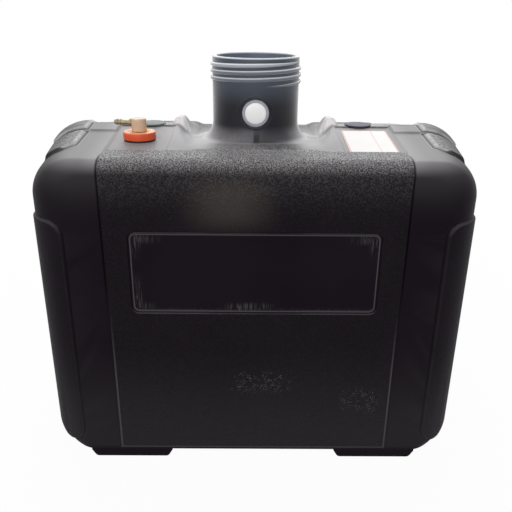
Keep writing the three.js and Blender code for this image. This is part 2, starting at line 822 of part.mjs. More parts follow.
function label() {
  const floorAt = (distance) => frontTopAt(distance) - panelDepth + slidingClearance;
  const front = labelBackEdge + labelLength;
  return prismAlongX(shapeOf([
    [-labelBackEdge, floorAt(labelBackEdge)],
    [-labelBackEdge, floorAt(labelBackEdge) + labelThickness],
    [-front, floorAt(front) + labelThickness],
    [-front, floorAt(front)],
  ]), labelX - labelWidth / 2, labelX + labelWidth / 2);
}

const group = new THREE.Group();

function place(parent, name, shape, material, x = 0, y = 0) {
  const geometry = shape.isBufferGeometry ? shape : toGeometry(shape);
  const mesh = new THREE.Mesh(geometry, material);
  mesh.name = name;
  mesh.position.set(x, y, 0);
  parent.add(mesh);
}

place(group, "front_half_shell", frontHalf(), blackPlastic);
place(group, "rear_half_shell", rearHalf(), blackPlastic);
place(group, "filler_neck", fillerNeck(), neckPlastic);
place(group, "neck_port_grommet", portGrommet(), greyRubber);
place(group, "neck_port_plug", portPlug(), whitePlastic);
place(group, "blank_label", label(), paperWhite);

const outlet = new THREE.Group();
outlet.position.set(outletX, outletY, 0);
group.add(outlet);
place(outlet, "outlet_bulkhead", outletBulkhead(), naturalPlastic);
place(outlet, "outlet_gasket", outletGasket(), blackRubber);
place(outlet, "outlet_nut", outletNut(), orangePlastic);
place(outlet, "elbow_body", elbowBody(), naturalPlastic);
place(outlet, "hose_barb", hoseBarb(), brass);
place(outlet, "elbow_o_ring", elbowORing(), blackRubber);
place(outlet, "elbow_retaining_ring", elbowRetainer(), springSteel);
place(outlet, "pickup_tube", pickupTube(), naturalPlastic);
place(outlet, "pickup_strainer_cage", strainerCage(), naturalPlastic);
place(outlet, "pickup_strainer_mesh", strainerMesh(), whitePlastic);

for (const [side, sign] of [["left", -1], ["right", 1]]) {
  place(group, `${side}_port_seal`, blankSeal(), blackRubber, sign * blankX, blankY);
  place(group, `${side}_port_plug`, blankPlug(), blackPlastic, sign * blankX, blankY);
}

export default group;
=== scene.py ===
import math

import bmesh
import bpy
import numpy as np
from mathutils import Matrix, Vector


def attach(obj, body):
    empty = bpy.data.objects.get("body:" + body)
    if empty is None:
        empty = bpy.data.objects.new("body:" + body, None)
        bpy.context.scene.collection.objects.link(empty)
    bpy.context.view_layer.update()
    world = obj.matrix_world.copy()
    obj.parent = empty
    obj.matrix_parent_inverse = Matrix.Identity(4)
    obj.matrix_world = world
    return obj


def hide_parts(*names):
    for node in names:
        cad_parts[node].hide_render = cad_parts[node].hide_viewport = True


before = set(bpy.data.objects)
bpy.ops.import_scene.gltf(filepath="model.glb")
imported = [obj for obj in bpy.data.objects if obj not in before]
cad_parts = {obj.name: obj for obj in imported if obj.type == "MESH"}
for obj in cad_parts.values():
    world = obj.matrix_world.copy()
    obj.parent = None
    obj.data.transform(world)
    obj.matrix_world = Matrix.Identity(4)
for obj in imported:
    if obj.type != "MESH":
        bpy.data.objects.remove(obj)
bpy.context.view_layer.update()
print("frame: the packed tank is in")

mm = 0.001

# The eye stands in front of the tank and a little above it
camera = {
    "place": (-3.60, -663.38, 463.75),
    "focalPixels": 606.42, "framePixels": 512, "sensor": 36.0, "nearClip": 0.01,
    "pitch": 22.50, "roll": 0.58, "yaw": 0.50,
}


def makeCamera():
    data = bpy.data.cameras.new("camera")
    data.sensor_width = camera["sensor"]
    data.lens = camera["focalPixels"] * camera["sensor"] / camera["framePixels"]
    data.clip_start = camera["nearClip"]
    pitch, yaw, roll = (math.radians(camera[key]) for key in ("pitch", "yaw", "roll"))
    forward = Vector((
        math.sin(yaw) * math.cos(pitch), math.cos(yaw) * math.cos(pitch), -math.sin(pitch),
    ))
    level = forward.cross(Vector((0, 0, 1))).normalized()
    upright = level.cross(forward)
    right = level * math.cos(roll) + upright * math.sin(roll)
    up = upright * math.cos(roll) - level * math.sin(roll)
    place = Vector(camera["place"]) * mm
    eye = bpy.data.objects.new("camera", data)
    eye.matrix_world = Matrix((
        (right.x, up.x, -forward.x, place.x),
        (right.y, up.y, -forward.y, place.y),
        (right.z, up.z, -forward.z, place.z),
        (0, 0, 0, 1),
    ))
    bpy.context.scene.collection.objects.link(eye)
    bpy.context.scene.camera = eye


makeCamera()
bpy.context.scene.view_settings.view_transform = "Standard"
print("camera: set")


# Shader maths: a Signal is a socket that can be added, multiplied and so on
class Signal:
    def __init__(self, recipe, socket):
        self.recipe = recipe
        self.socket = socket

    def math(self, operation, first, second=0.0):
        return self.recipe.node("ShaderNodeMath", {"operation": operation}, {0: first, 1: second})

    def __add__(self, other):
        return self.math("ADD", self, other)

    def __radd__(self, other):
        return self.math("ADD", other, self)

    def __sub__(self, other):
        return self.math("SUBTRACT", self, other)

    def __rsub__(self, other):
        return self.math("SUBTRACT", other, self)

    def __mul__(self, other):
        return self.math("MULTIPLY", self, other)

    def __rmul__(self, other):
        return self.math("MULTIPLY", other, self)

    def __abs__(self):
        return self.math("ABSOLUTE", self)

    def least(self, other):
        return self.math("MINIMUM", self, other)

    def most(self, other):
        return self.math("MAXIMUM", self, other)

    def power(self, exponent):
        return self.math("POWER", self, exponent)

    def hypot(self, other):
        return (self.power(2.0) + other.power(2.0)).power(0.5)

    def ramp(self, low, high, start=0.0, end=1.0):
        return self.recipe.node("ShaderNodeMapRange", {"interpolation_type": "SMOOTHSTEP"}, {
            "Value": self, "From Min": low, "From Max": high, "To Min": start, "To Max": end,
        })

    # A noise lies mostly between these two levels, so this spreads it from start to end
    def spread(self, start=0.0, end=1.0):
        return self.ramp(0.3, 0.7, start, end)


# The nodes of one material, or of the world
class Recipe:
    def __init__(self, owner):
        owner.use_nodes = True
        self.owner = owner
        self.tree = owner.node_tree
        self.tree.nodes.clear()
        self.place = self.node("ShaderNodeTexCoord", output="Object")

    def node(self, kind, settings=None, inputs=None, output=0):
        made = self.tree.nodes.new(kind)
        for key, value in (settings or {}).items():
            setattr(made, key, value)
        for key, value in (inputs or {}).items():
            if isinstance(value, Signal):
                self.tree.links.new(value.socket, made.inputs[key])
            else:
                made.inputs[key].default_value = value
        return made if output is None else Signal(self, made.outputs[output])

    def axes(self):
        split = self.node("ShaderNodeSeparateXYZ", inputs={0: self.place}).socket.node
        return [Signal(self, split.outputs[axis]) for axis in "XYZ"]

    def millimetres(self):
        return [axis * (1 / mm) for axis in self.axes()]

    # How far the skin faces up: 1 where it is level, 0 on a wall and below 0 underneath
    def upward(self):
        normal = self.node("ShaderNodeTexCoord", output="Normal")
        return self.node("ShaderNodeSeparateXYZ", inputs={0: normal}, output=2)

    def attribute(self, name):
        return self.node("ShaderNodeAttribute", {"attribute_name": name}, output=2)

    def noise(self, scale, detail, roughness, vector=None):
        return self.node("ShaderNodeTexNoise", inputs={
            "Vector": vector or self.place, "Scale": scale, "Detail": detail,
            "Roughness": roughness,
        })

    def mottle(self, scale):
        return self.noise(scale, 3.0, 0.55)

    def fineGrain(self, scale):
        return self.noise(scale, 2.0, 0.5)

    # Long marks, which run along the axes whose scale is low
    def streaks(self, scales):
        drawn = self.node("ShaderNodeMapping", inputs={"Vector": self.place, "Scale": scales})
        return self.noise(1.0, 3.0, 0.6, drawn)

    def cells(self, scale):
        return self.node("ShaderNodeTexVoronoi", inputs={"Vector": self.place, "Scale": scale})

    def mixed(self, factor, first, second):
        return self.node("ShaderNodeMix", {"data_type": "RGBA"}, {
            "Factor": factor, 6: first, 7: second,
        }, 2)

    def bumped(self, height, depth):
        return self.node("ShaderNodeBump", inputs={
            "Height": height, "Distance": depth, "Strength": 1.0,
        })

    def finish(self, **sockets):
        names = {
            "colour": "Base Color", "roughness": "Roughness", "normal": "Normal",
            "specular": "Specular IOR Level", "metal": "Metallic", "tint": "Specular Tint",
            "coat": "Coat Weight", "coatRoughness": "Coat Roughness",
            "sheen": "Sheen Weight", "sheenRoughness": "Sheen Roughness",
        }
        shader = self.node("ShaderNodeBsdfPrincipled", inputs={
            names[key]: value for key, value in sockets.items()
        })
        self.node("ShaderNodeOutputMaterial", inputs={"Surface": shader}, output=None)
        return self.owner


def newFinish(name):
    return Recipe(bpy.data.materials.new(name))


def colour(red, green, blue):
    return (red, green, blue, 1.0)


# The weld is in metres; a crease sharper than this many degrees isn't shaded smooth
joining = {"weld": 1e-6, "sharpDegrees": 50}


# Mesh making: sheets of points are collected, welded along their edges and turned outwards
class Patchwork:
    def __init__(self):
        self.points = []
        self.faces = []
        self.marks = []
        self.count = 0

    # Marks are grain texture, which is below 0 where a groove gets painted shade, and a painted
    # highlight on bevels, lips and ridges
    def add(self, points, faces, marks=(0.0, 0.0)):
        flat = np.asarray(points, float).reshape(-1, 3)
        self.points.append(flat)
        self.marks.append(np.broadcast_to(np.reshape(marks, (-1, 2)), (len(flat), 2)))
        self.faces.append(np.asarray(faces) + self.count)
        self.count += len(flat)

    def sheet(self, points, marks=(0.0, 0.0), keep=None):
        rows, columns = points.shape[:2]
        index = np.arange(rows * columns).reshape(rows, columns)
        quads = np.stack([index[:-1, :-1], index[1:, :-1], index[1:, 1:], index[:-1, 1:]], -1)
        quads = quads[keep] if keep is not None else quads.reshape(-1, 4)
        self.add(points, quads, marks)

    # Triangles between two edges, taken in step by keys that rise along each
    def strip(self, first, second, firstKeys, secondKeys):
        one, two, triangles = 0, 0, []
        while one + 1 < len(first) or two + 1 < len(second):
            atEnd = two + 1 == len(second)
            if atEnd or (one + 1 < len(first) and firstKeys[one + 1] <= secondKeys[two + 1]):
                triangles.append((one, one + 1, len(first) + two))
                one += 1
            else:
                triangles.append((one, len(first) + two + 1, len(first) + two))
                two += 1
        faces = [(a, b, c, c) for a, b, c in triangles]
        self.add(np.vstack([first, second]), faces)

    def make(self, name):
        form = bmesh.new()
        for mark in ("grainAndShade", "paintedShine"):
            form.verts.layers.float.new(mark)
        layers = [form.verts.layers.float[mark] for mark in ("grainAndShade", "paintedShine")]
        points = np.vstack(self.points) * mm
        corners = [form.verts.new(point) for point in points]
        for corner, values in zip(corners, np.concatenate(self.marks)):
            for layer, value in zip(layers, values):
                corner[layer] = value
        for face in np.vstack(self.faces):
            ring = list(dict.fromkeys(face))
            form.faces.new([corners[index] for index in ring])
        return finishForm(form, name)


def finishForm(form, name):
    bmesh.ops.remove_doubles(form, verts=form.verts, dist=joining["weld"])
    bmesh.ops.dissolve_degenerate(form, edges=form.edges, dist=joining["weld"])
    stray = [edge for edge in form.edges if not edge.link_faces]
    bmesh.ops.delete(form, geom=stray, context="EDGES")
    bmesh.ops.recalc_face_normals(form, faces=form.faces)
    mesh = bpy.data.meshes.new(name)
    form.to_mesh(mesh)
    form.free()
    mesh.polygons.foreach_set("use_smooth", [True] * len(mesh.polygons))
    mesh.set_sharp_from_angle(angle=math.radians(joining["sharpDegrees"]))
    piece = bpy.data.objects.new(name, mesh)
    bpy.context.scene.collection.objects.link(piece)
    return piece


def settle(piece, material, body, node=None):
    piece.data.materials.clear()
    piece.data.materials.append(material)
    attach(piece, body)
    if node:
        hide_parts(node)


# Lines of a mesh from start on, each run given by its end and the gap wanted between lines
def ticks(start, *runs):
    values = [start]
    for end, gap in runs:
        count = max(1, round(abs(end - values[-1]) / gap))
        values += list(np.linspace(values[-1], end, count + 1)[1:])
    return np.array(values)


# A smooth step from 0 to 1, centred on 0 and as wide as given
def soft(value, width):
    share = np.clip(value / width + 0.5, 0, 1)
    return share * share * (3 - 2 * share)


# The lower of two heights, rounded off within reach of where they cross
def lower(first, second, reach):
    share = np.clip(0.5 + 0.5 * (second - first) / reach, 0, 1)
    return second * (1 - share) + first * share - reach * share * (1 - share)


def higher(first, second, reach):
    return -lower(-first, -second, reach)


def slope(degrees):
    return math.tan(math.radians(degrees))


# The tank's moulded halves: sizes in millimetres, the seam between them lies at Y = 0. Side is -1
# for the front half and 1 for the rear, and distance is how far a point lies from the seam
tank = {
    "seamHalfWidth": 224.3, "seamTop": 342.8, "underside": 9.0, "depth": 126.0,
    "sideDraft": 5.4, "frontDraft": 5.4, "rearDraft": 8.6,
    "topCorner": 47.0, "bottomCorner": 36.0, "leastCorner": 6.0, "cornerShrink": 0.6,
    "edge": 32.0, "shoulder": 13.0, "heel": 3.0, "leastHeel": 0.01, "wall": 5.0,
    "middleHalfWidth": 150.0, "middleHeight": 175.0, "mostDepth": 127.75,
    # The seam's groove: its depth and width, and how dark the painted shade in it is
    "seamGroove": 0.8, "seamGrooveWidth": 1.3, "seamShade": 0.5,
    "innerDrop": 2.4,
}
band = {
    "halfWidth": 144.5, "proud": 1.2, "topEdge": 91.0, "lip": 13.0, "edgeWidth": 1.1,
    "crease": 2.7, "creaseDepth": 1.2, "creaseOverlap": 0.3, "creaseStart": 104.0,
    "creaseFade": 16.0, "creaseEnd": 200.0, "creaseRise": 80.0, "lowCreaseShare": 0.35,
    "neckReach": 4.5, "neckHalf": 62.0, "neckFade": 8.0,
}
panel = {"depth": 1.8, "inner": 86.0, "edgeWidth": 4.6, "frontWidth": 2.4}
plate = {
    "halfWidth": 120.6, "halfHeight": 42.2, "centre": 222.2, "corner": 7.0,
    "insets": (-1.2, -0.3, 0.5, 2.3, 3.0), "depths": (0.0, -1.3, -0.6, -0.6, -1.0),
    "grooveAway": 0.4, "grooveHalf": 0.9, "smoothWidth": 1.5,
}
# The strips start where the tank's upright edge has turned by the angle whose sine is startShare
sideStrip = {
    "low": 22.0, "high": 275.0, "corner": 15.0, "proud": 2.2, "startShare": 0.9963,
    "reach": 62.0, "rearCorner": 5.0, "edgeWidth": 3.0, "groove": 2.0, "grooveDepth": 1.1,
    "texture": 0.35, "shine": 0.035, "leastAlong": 60.0,
}
pad = {
    "inner": 176.0, "front": 86.0, "rear": 29.0, "cut": 12.0, "proud": 2.6, "low": 322.0,
    "middleHalf": 23.0, "edgeWidth": 4.0, "groove": 2.4, "grooveDepth": 1.2,
    "texture": 0.8, "shine": 1.25,
    "shadeReach": 4.5, "shadeFade": 3.0, "shadeOutside": 1.0, "shadeEdge": 1.5, "shadeDepth": 0.7,
}
platform = {"inner": 145.5, "half": 26.0, "proud": 1.5, "edgeWidth": 3.0}
# The channel's surface is lifted clear of the top past its rims, where it mustn't cut
channel = {
    "floor": 327.5, "floorHalf": 66.0, "wall": 334.0, "wallHalf": 76.0, "rimHalf": 84.0,
    "frontLength": 72.0, "rearDraft": 2.5, "blend": 2.6,
    "clearHalf": 90.0, "clearHeight": 380.0, "clearLift": 60.0,
}
# The ridges beside the neck's channel; shine is the painted highlight on them, which fades by dull
# from dullFrom on
ridge = {
    "peak": (81.5, 351.5), "endPeak": (87.0, 340.0), "topWidth": 7.5, "topRound": 3.0,
    "innerFoot": 70.0, "outerFoot": 94.0, "sink": 2.5, "start": 3.0, "length": 75.0,
    "blend": 2.0, "lean": 9.0, "frontDrop": 28.0, "rearLean": 6.0, "rearDrop": 60.0,
    "shine": 2.2, "shineWidth": 4.0, "dull": 0.8, "dullFrom": 32.0,
}
flare = {"neckRadius": 45.5, "radius": 22.0, "top": 350.0, "foot": 57.0, "blend": 5.0}
neckSeat = {"radius": 65.3, "height": 319.0}
outletSeat = {"centre": (-117.0, 50.0), "radius": 18.0, "height": 336.0, "edgeWidth": 0.9}
# The cell is the patch of the top, from the middle out, that is meshed in rings round the hole
blankPort = {
    "x": 113.0, "y": 10.0, "spotFace": 14.8, "height": 340.4, "hole": 5.8, "edgeWidth": 0.8,
    "cell": (99.0, 127.0), "cellFar": 24.0,
}


def topAt(distance, side):
    draft = tank["frontDraft"] if side < 0 else tank["rearDraft"]
    return tank["seamTop"] - distance * slope(draft)


def drawnIn(distance, depth, radius):
    into = np.clip(distance - (depth - radius), 0, radius)
    return radius - np.sqrt(np.maximum(0, radius * radius - into * into))


def outAt(distance, growth):
    share = np.maximum(0, distance - tank["depth"] + tank["edge"]) / tank["edge"]
    return np.minimum(distance + growth * share, tank["mostDepth"])


def grooveAt(distance):
    width = tank["seamGrooveWidth"]
    return -tank["seamGroove"] * (1 - soft(distance - width / 2, width))


# The painted shade in the seam's groove, as a mark below 0
def seamShadeAt(distance):
    return tank["seamShade"] * grooveAt(distance) / tank["seamGroove"]


farAlong = 1e3
farOutside = -99.0


# A ring round the tank's end: kind 0 is its top, 1 the top corner, 2 the side, 3 the lower
# corner and 4 the underside; drop lowers the top, as the inside needs
def endPoint(kind, value, distance, growth, side, drop=0.0):
    away = outAt(distance, growth)
    depth = tank["depth"] + growth
    inset = away * slope(tank["sideDraft"]) + drawnIn(away, depth, tank["edge"] + growth) - growth
    half = tank["seamHalfWidth"] - inset
    top = topAt(away, side) + growth - drop - drawnIn(away, depth, tank["shoulder"] + growth)
    heel = np.maximum(tank["leastHeel"], tank["heel"] + growth)
    low = tank["underside"] - growth + drawnIn(away, depth, heel)
    upper = np.maximum(tank["leastCorner"], tank["topCorner"] - tank["cornerShrink"] * inset)
    under = np.maximum(tank["leastCorner"], tank["bottomCorner"] - tank["cornerShrink"] * inset)
    middle = tank["middleHalfWidth"]
    across = np.select(
        [kind == 0, kind == 1, kind == 2, kind == 3],
        [middle + (half - upper - middle) * value, half - upper + upper * np.cos(value), half,
         half - under + under * np.cos(value)],
        half - under + (middle - half + under) * value)
    height = np.select(
        [kind == 0, kind == 1, kind == 2, kind == 3],
        [top, top - upper + upper * np.sin(value), top - upper + (low + under - top + upper) * value,
         low + under + under * np.sin(value)], low)
    cornerStart = half - upper
    along = np.select(
        [kind == 0, kind == 1],
        [across - middle, cornerStart - middle + upper * (math.pi / 2 - value)], farAlong)
    return across, side * away + 0 * across, height, along


# How far a point lies inside a box with round corners
def roundedBox(across, up, halfWidth, halfHeight, corner):
    outX = np.abs(across) - halfWidth + corner
    outZ = np.abs(up) - halfHeight + corner
    outside = np.hypot(np.maximum(outX, 0), np.maximum(outZ, 0))
    return corner - outside - np.minimum(np.maximum(outX, outZ), 0)


# Raised and sunk relief: how far the skin stands out from the plain form, and its marks. A raised
# area has a bevel inside its outline, a sharp groove along its foot and a lip past that; shine is
# how strong the painted highlight on the bevel and the lip is, and the groove is marked below 0
# for painted shade
lip = {"away": 0.5, "half": 0.9, "shine": 0.5}


def raised(inside, at, texture):
    lift = soft(inside - at["edgeWidth"] / 2, at["edgeWidth"])
    groove = np.clip(1 - np.abs(inside / at["groove"] + 0.5) * 2, 0, 1)
    onLip = np.clip(1 - np.abs(inside + at["groove"] + lip["away"]) / lip["half"], 0, 1)
    growth = at["proud"] * lift - at["grooveDepth"] * groove
    shine = 4 * lift * (1 - lift) + lip["shine"] * onLip
    return growth, texture * lift ** 2 - groove, at["shine"] * shine


def stronger(first, second):
    return np.where(np.abs(first) > np.abs(second), first, second)


def marked(texture, paintedShine=0.0):
    return np.stack(np.broadcast_arrays(texture, paintedShine), -1)


# The smooth pad across the seam and, in front, the grained one, whose front end and the groove there
# get painted shade in place of the painted highlight
def padRelief(height, along, distance, side):
    inPad = along - pad["inner"] + tank["middleHalfWidth"]
    aboveLow = height - pad["low"]
    middlePad = np.minimum(np.minimum(inPad, pad["middleHalf"] - distance), aboveLow)
    areas = [raised(middlePad, pad, 0.0)]
    if side < 0:
        corner = (inPad + pad["front"] - distance - pad["cut"]) / math.sqrt(2)
        length = np.minimum(distance - pad["rear"], pad["front"] - distance)
        inside = np.minimum(np.minimum(inPad, length), np.minimum(corner, aboveLow))
        growth, mark, wearAndShine = raised(inside, pad, pad["texture"])
        shade = soft(distance - pad["front"] + pad["shadeReach"], pad["shadeFade"]) * soft(
            inside + pad["shadeOutside"], pad["shadeEdge"])
        mark = mark * (1 - shade) - pad["shadeDepth"] * shade
        areas.append((growth, mark, wearAndShine * (1 - shade)))
    return areas


# The strip is laid out flat: around is the way from its inner end, round the tank's edge
def stripRelief(height, along, distance):
    depth, edge = tank["depth"], tank["edge"]
    edgeAngle = np.arcsin(np.clip((distance - depth + edge) / edge, 0, 1))
    startAngle = math.asin(sideStrip["startShare"])
    around = np.where(
        distance > depth - edge, edge * (startAngle - edgeAngle),
        edge * startAngle + depth - edge - distance)
    width = edge * startAngle + depth - edge - sideStrip["reach"]
    tall = sideStrip["high"] - sideStrip["low"]
    corner = np.where(around < width / 2, sideStrip["corner"], sideStrip["rearCorner"])
    inside = roundedBox(around - width / 2, height - sideStrip["low"] - tall / 2,
                        width / 2, tall / 2, corner)
    onSide = (along > sideStrip["leastAlong"]) & (height < pad["low"])
    return raised(np.where(onSide, inside, farOutside), sideStrip, sideStrip["texture"])


def endRelief(height, along, distance, side):
    growth = grooveAt(distance) + platform["proud"] * (
        soft(platform["half"] - distance, platform["edgeWidth"]) * soft(
            height - pad["low"], pad["edgeWidth"]))
    # Each raised area brings the painted shade of its groove and the painted highlight of its bevel
    # and lip, and the seam's groove gets painted shade
    texture, paintedShine = seamShadeAt(distance), 0.0
    areas = padRelief(height, along, distance, side) + [stripRelief(height, along, distance)]
    for lift, mark, wearAndShine in areas:
        growth, texture, paintedShine = growth + lift, stronger(texture, mark), paintedShine + wearAndShine
    return growth, marked(texture, paintedShine)


def bandAt(across):
    return soft(band["halfWidth"] - np.abs(across), band["edgeWidth"])


def creaseAt(across):
    away = np.abs(across) - band["halfWidth"] - band["crease"] / 2 + band["creaseOverlap"]
    return np.clip(1 - np.abs(away) / band["crease"] * 2, 0, 1)


def channelAt(across, distance, side):
    wide = np.abs(across)
    outline = np.interp(
        wide,
        [0, channel["floorHalf"], channel["wallHalf"], channel["rimHalf"], channel["clearHalf"]],
        [channel["floor"], channel["floor"], channel["wall"], tank["seamTop"],
         channel["clearHeight"]])
    clear = (wide > channel["rimHalf"]) * channel["clearLift"]
    if side < 0:
        lift = topAt(channel["frontLength"], side) - channel["floor"]
        return outline + lift * distance / channel["frontLength"] + clear
    return outline - distance * slope(channel["rearDraft"]) + clear


def ridgeAt(across, distance):
    share = np.clip((distance - ridge["start"]) / ridge["length"], 0, 1)
    peak, height = [first + (last - first) * share
                    for first, last in zip(ridge["peak"], ridge["endPeak"])]
    floor = channel["floor"] - distance * slope(channel["rearDraft"]) - ridge["sink"]
    wide = np.abs(across)
    innerTop, outerTop = peak - ridge["topWidth"] / 2, peak + ridge["topWidth"] / 2
    inner = floor + (wide - ridge["innerFoot"]) / (innerTop - ridge["innerFoot"]) * (height - floor)
    base = topAt(distance, 1) - ridge["sink"]
    outer = base + (ridge["outerFoot"] - wide) / (ridge["outerFoot"] - outerTop) * (height - base)
    body = lower(lower(inner, outer, ridge["topRound"]), height, ridge["topRound"])
    lean = ridge["lean"]
    front = 1 - soft(distance - ridge["start"] - lean / 2, lean)
    rear = 1 - soft(ridge["start"] + ridge["length"] - distance, ridge["rearLean"])
    return body - ridge["frontDrop"] * front - ridge["rearDrop"] * rear


def flareAt(radius):
    reach = flare["neckRadius"] + flare["radius"]
    inside = np.clip(reach - radius, 0, flare["radius"])
    curve = flare["top"] - np.sqrt(np.maximum(0, flare["radius"] ** 2 - inside ** 2))
    return curve - np.maximum(0, radius - reach)


# The band's back edge, which steps back before the neck
def bandEdgeAt(across):
    beforeNeck = soft(band["neckHalf"] - np.abs(across), band["neckFade"])
    return band["topEdge"] - band["neckReach"] * beforeNeck


# The top of one half at a point: how far out it lies, its height and its marks
def topHeight(across, distance, side):
    wide = np.abs(across)
    onBand = bandAt(across) * soft(distance - bandEdgeAt(across), band["edgeWidth"])
    crease = creaseAt(across) * soft(distance - band["creaseStart"], band["creaseFade"])
    growth = band["proud"] * onBand - band["creaseDepth"] * crease + grooveAt(distance)
    growth = growth + platform["proud"] * soft(wide - platform["inner"], platform["edgeWidth"]) * soft(
        platform["half"] - distance, platform["edgeWidth"])
    if side < 0:
        sunk = soft(wide - panel["inner"], panel["edgeWidth"]) * soft(
            band["halfWidth"] - wide, panel["edgeWidth"]) * soft(
                band["topEdge"] - distance, panel["frontWidth"])
        growth = growth - panel["depth"] * sunk
    away = outAt(distance, growth)
    height = topAt(away, side) + growth - drawnIn(
        away, tank["depth"] + growth, tank["shoulder"] + growth)
    height = lower(height, channelAt(across, distance, side) + grooveAt(distance), channel["blend"])
    paintedShine = 0 * height
    if side > 0:
        ridgeHeight = ridgeAt(across, distance)
        # The ridges get a painted highlight, fading further back
        paintedShine = ridge["shine"] * soft(ridgeHeight - height, ridge["shineWidth"]) * (
            1 - ridge["dull"] * soft(distance - ridge["dullFrom"], ridge["length"] / 2))
        height = higher(height, ridgeHeight, ridge["blend"])
        fromPort = np.hypot(wide - blankPort["x"], distance - blankPort["y"])
        inPort = soft(blankPort["spotFace"] - fromPort, blankPort["edgeWidth"])
        height = height + (np.minimum(height, blankPort["height"]) - height) * inPort
    else:
        centre = outletSeat["centre"]
        fromSeat = np.hypot(across - centre[0], distance - centre[1])
        inSeat = soft(outletSeat["radius"] - fromSeat, outletSeat["edgeWidth"])
        height = height + (outletSeat["height"] - height) * inSeat
    height = higher(height, flareAt(np.hypot(across, distance)) + grooveAt(distance), flare["blend"])
    # The creases beside the band and the seam's groove are marked below 0, for painted shade
    texture = stronger(onBand - crease, seamShadeAt(distance))
    return away, height, marked(texture, paintedShine)


def faceRelief(across, height, side):
    onBand = bandAt(across) * soft(height - band["lip"], band["edgeWidth"])
    upper = soft(height - band["creaseEnd"], band["creaseRise"])
    crease = creaseAt(across) * soft(height - band["lip"], band["edgeWidth"])
    low = band["lowCreaseShare"]
    growth = band["proud"] * onBand - band["creaseDepth"] * crease * (low + (1 - low) * upper)
    # The creases beside the band, strongest high on the face, are marked below 0 for painted shade
    texture = onBand - crease * upper
    if side < 0:
        inside = roundedBox(across, height - plate["centre"], plate["halfWidth"],
                            plate["halfHeight"], plate["corner"])
        groove = np.clip(1 - np.abs(inside + plate["grooveAway"]) / plate["grooveHalf"], 0, 1)
        growth = growth + np.interp(inside, plate["insets"], plate["depths"])
        smooth = soft(inside, plate["smoothWidth"])
        # The groove round the plate is marked below 0, for painted shade
        texture = texture * (1 - smooth) * (1 - groove) - groove
    return growth, texture


# Rings round a hole, which open out to the perimeter in steps
def ring(perimeter, centre, radii, steps, heightAt):
    offset = perimeter - np.array(centre)
    reach = np.hypot(offset[:, 0], offset[:, 1])
    unit = offset / reach[:, None]
    rows = [np.full(len(perimeter), radius) for radius in radii]
    rows += [radii[-1] + (reach - radii[-1]) * step / steps for step in range(1, steps + 1)]
    flat = np.array([np.array(centre) + unit * row[:, None] for row in rows])
    flat[-1] = perimeter
    return heightAt(flat[..., 0], flat[..., 1])


# The perimeter of a patch of the top that starts at the seam
def boxLoop(columns, distances, low, high, far, closed):
    inside = distances[distances <= far]
    across = columns[(columns >= low) & (columns <= high)]
    loop = [(high, value) for value in inside]
    loop += [(value, far) for value in across[::-1][1:]]
    loop += [(low, value) for value in inside[::-1][1:]]
    if closed:
        loop += [(value, 0.0) for value in across[1:]]
    return np.array(loop)


# The mesh's lines, as runs of (end, gap) that are close where the skin has relief. Distances run
# from the seam, columns from the middle and faceRuns down the face; roundSteps are the degrees
# between lines round the tank's edge, shoulder and heel
outerLines = {
    "both": {
        "faceRuns": ((267, 5.2), (266, 0.6), (260, 0.42), (254, 1.2), (189, 5.2), (184.4, 1.2),
                     (178.2, 0.42), (20, 6), (15.5, 1.5), (12, 0.5)),
        "roundSteps": (3.6, 9.0, 14.0), "holeRadii": (blankPort["hole"], 6.4, 8.0), "holeSteps": 4,
    },
    -1: {
        "distances": ticks(0, (1.35, 0.27), (3, 0.82), (20, 4), (32, 0.8), (62, 3.3), (66, 1.3),
                           (78, 2), (81, 1), (92.5, 0.64), (94, 0.8)),
        "columns": ticks(0, (60, 4.6), (84.6, 3.5), (88, 0.55), (97, 3), (110, 3.25), (116, 1.0),
                         (122.4, 0.42), (141, 4), (148, 0.42), (tank["middleHalfWidth"], 1.0)),
        "neckRadii": ticks(flare["foot"], (69, 1.1)), "neckSteps": 11,
        "neckHalf": 84.6, "neckFar": 78.0, "stripTopShare": 0.06,
    },
    1: {
        "distances": ticks(0, (1.35, 0.27), (3, 0.82), (18, 2.5), (24, 0.8), (28, 0.8), (62, 3),
                           (66, 1.3), (80, 2), (86, 1), (94, 1.6)),
        "columns": ticks(0, (60, 4.6), (97, 3.4), (99, 2), (127, 1.7), (141, 3.5), (148, 0.5),
                         (tank["middleHalfWidth"], 1.0)),
        "neckRadii": ticks(flare["foot"], (70, 1.1)), "neckSteps": 24,
        "neckHalf": 97.0, "neckFar": 86.0, "stripTopShare": 0.028,
    },
}
innerLines = {
    "both": {
        "faceRuns": ((12, 40),), "roundSteps": (20.0, 45.0, 45.0),
        "columns": ticks(0, (84.6, 14), (97, 6), (99, 2), (127, 14), (tank["middleHalfWidth"], 12)),
        "neckRadii": np.array([flare["foot"], 61.0, 65.0, 65.6]), "neckSteps": 2,
        "holeRadii": (blankPort["hole"], 7.0), "holeSteps": 1,
    },
    -1: {"distances": ticks(0, (24, 8), (78, 9), (94, 8)), "neckHalf": 84.6, "neckFar": 78.0},
    1: {"distances": ticks(0, (24, 8), (86, 9), (94, 8)), "neckHalf": 97.0, "neckFar": 86.0},
}
# From fineFrom degrees on, the lines round the edge are fineness times closer. None is kept nearer
# than leastGap degrees to the one before it, or than endGap to the end
roundLines = {"fineFrom": 80, "fineness": 4, "endGap": 0.4, "leastGap": 0.55}


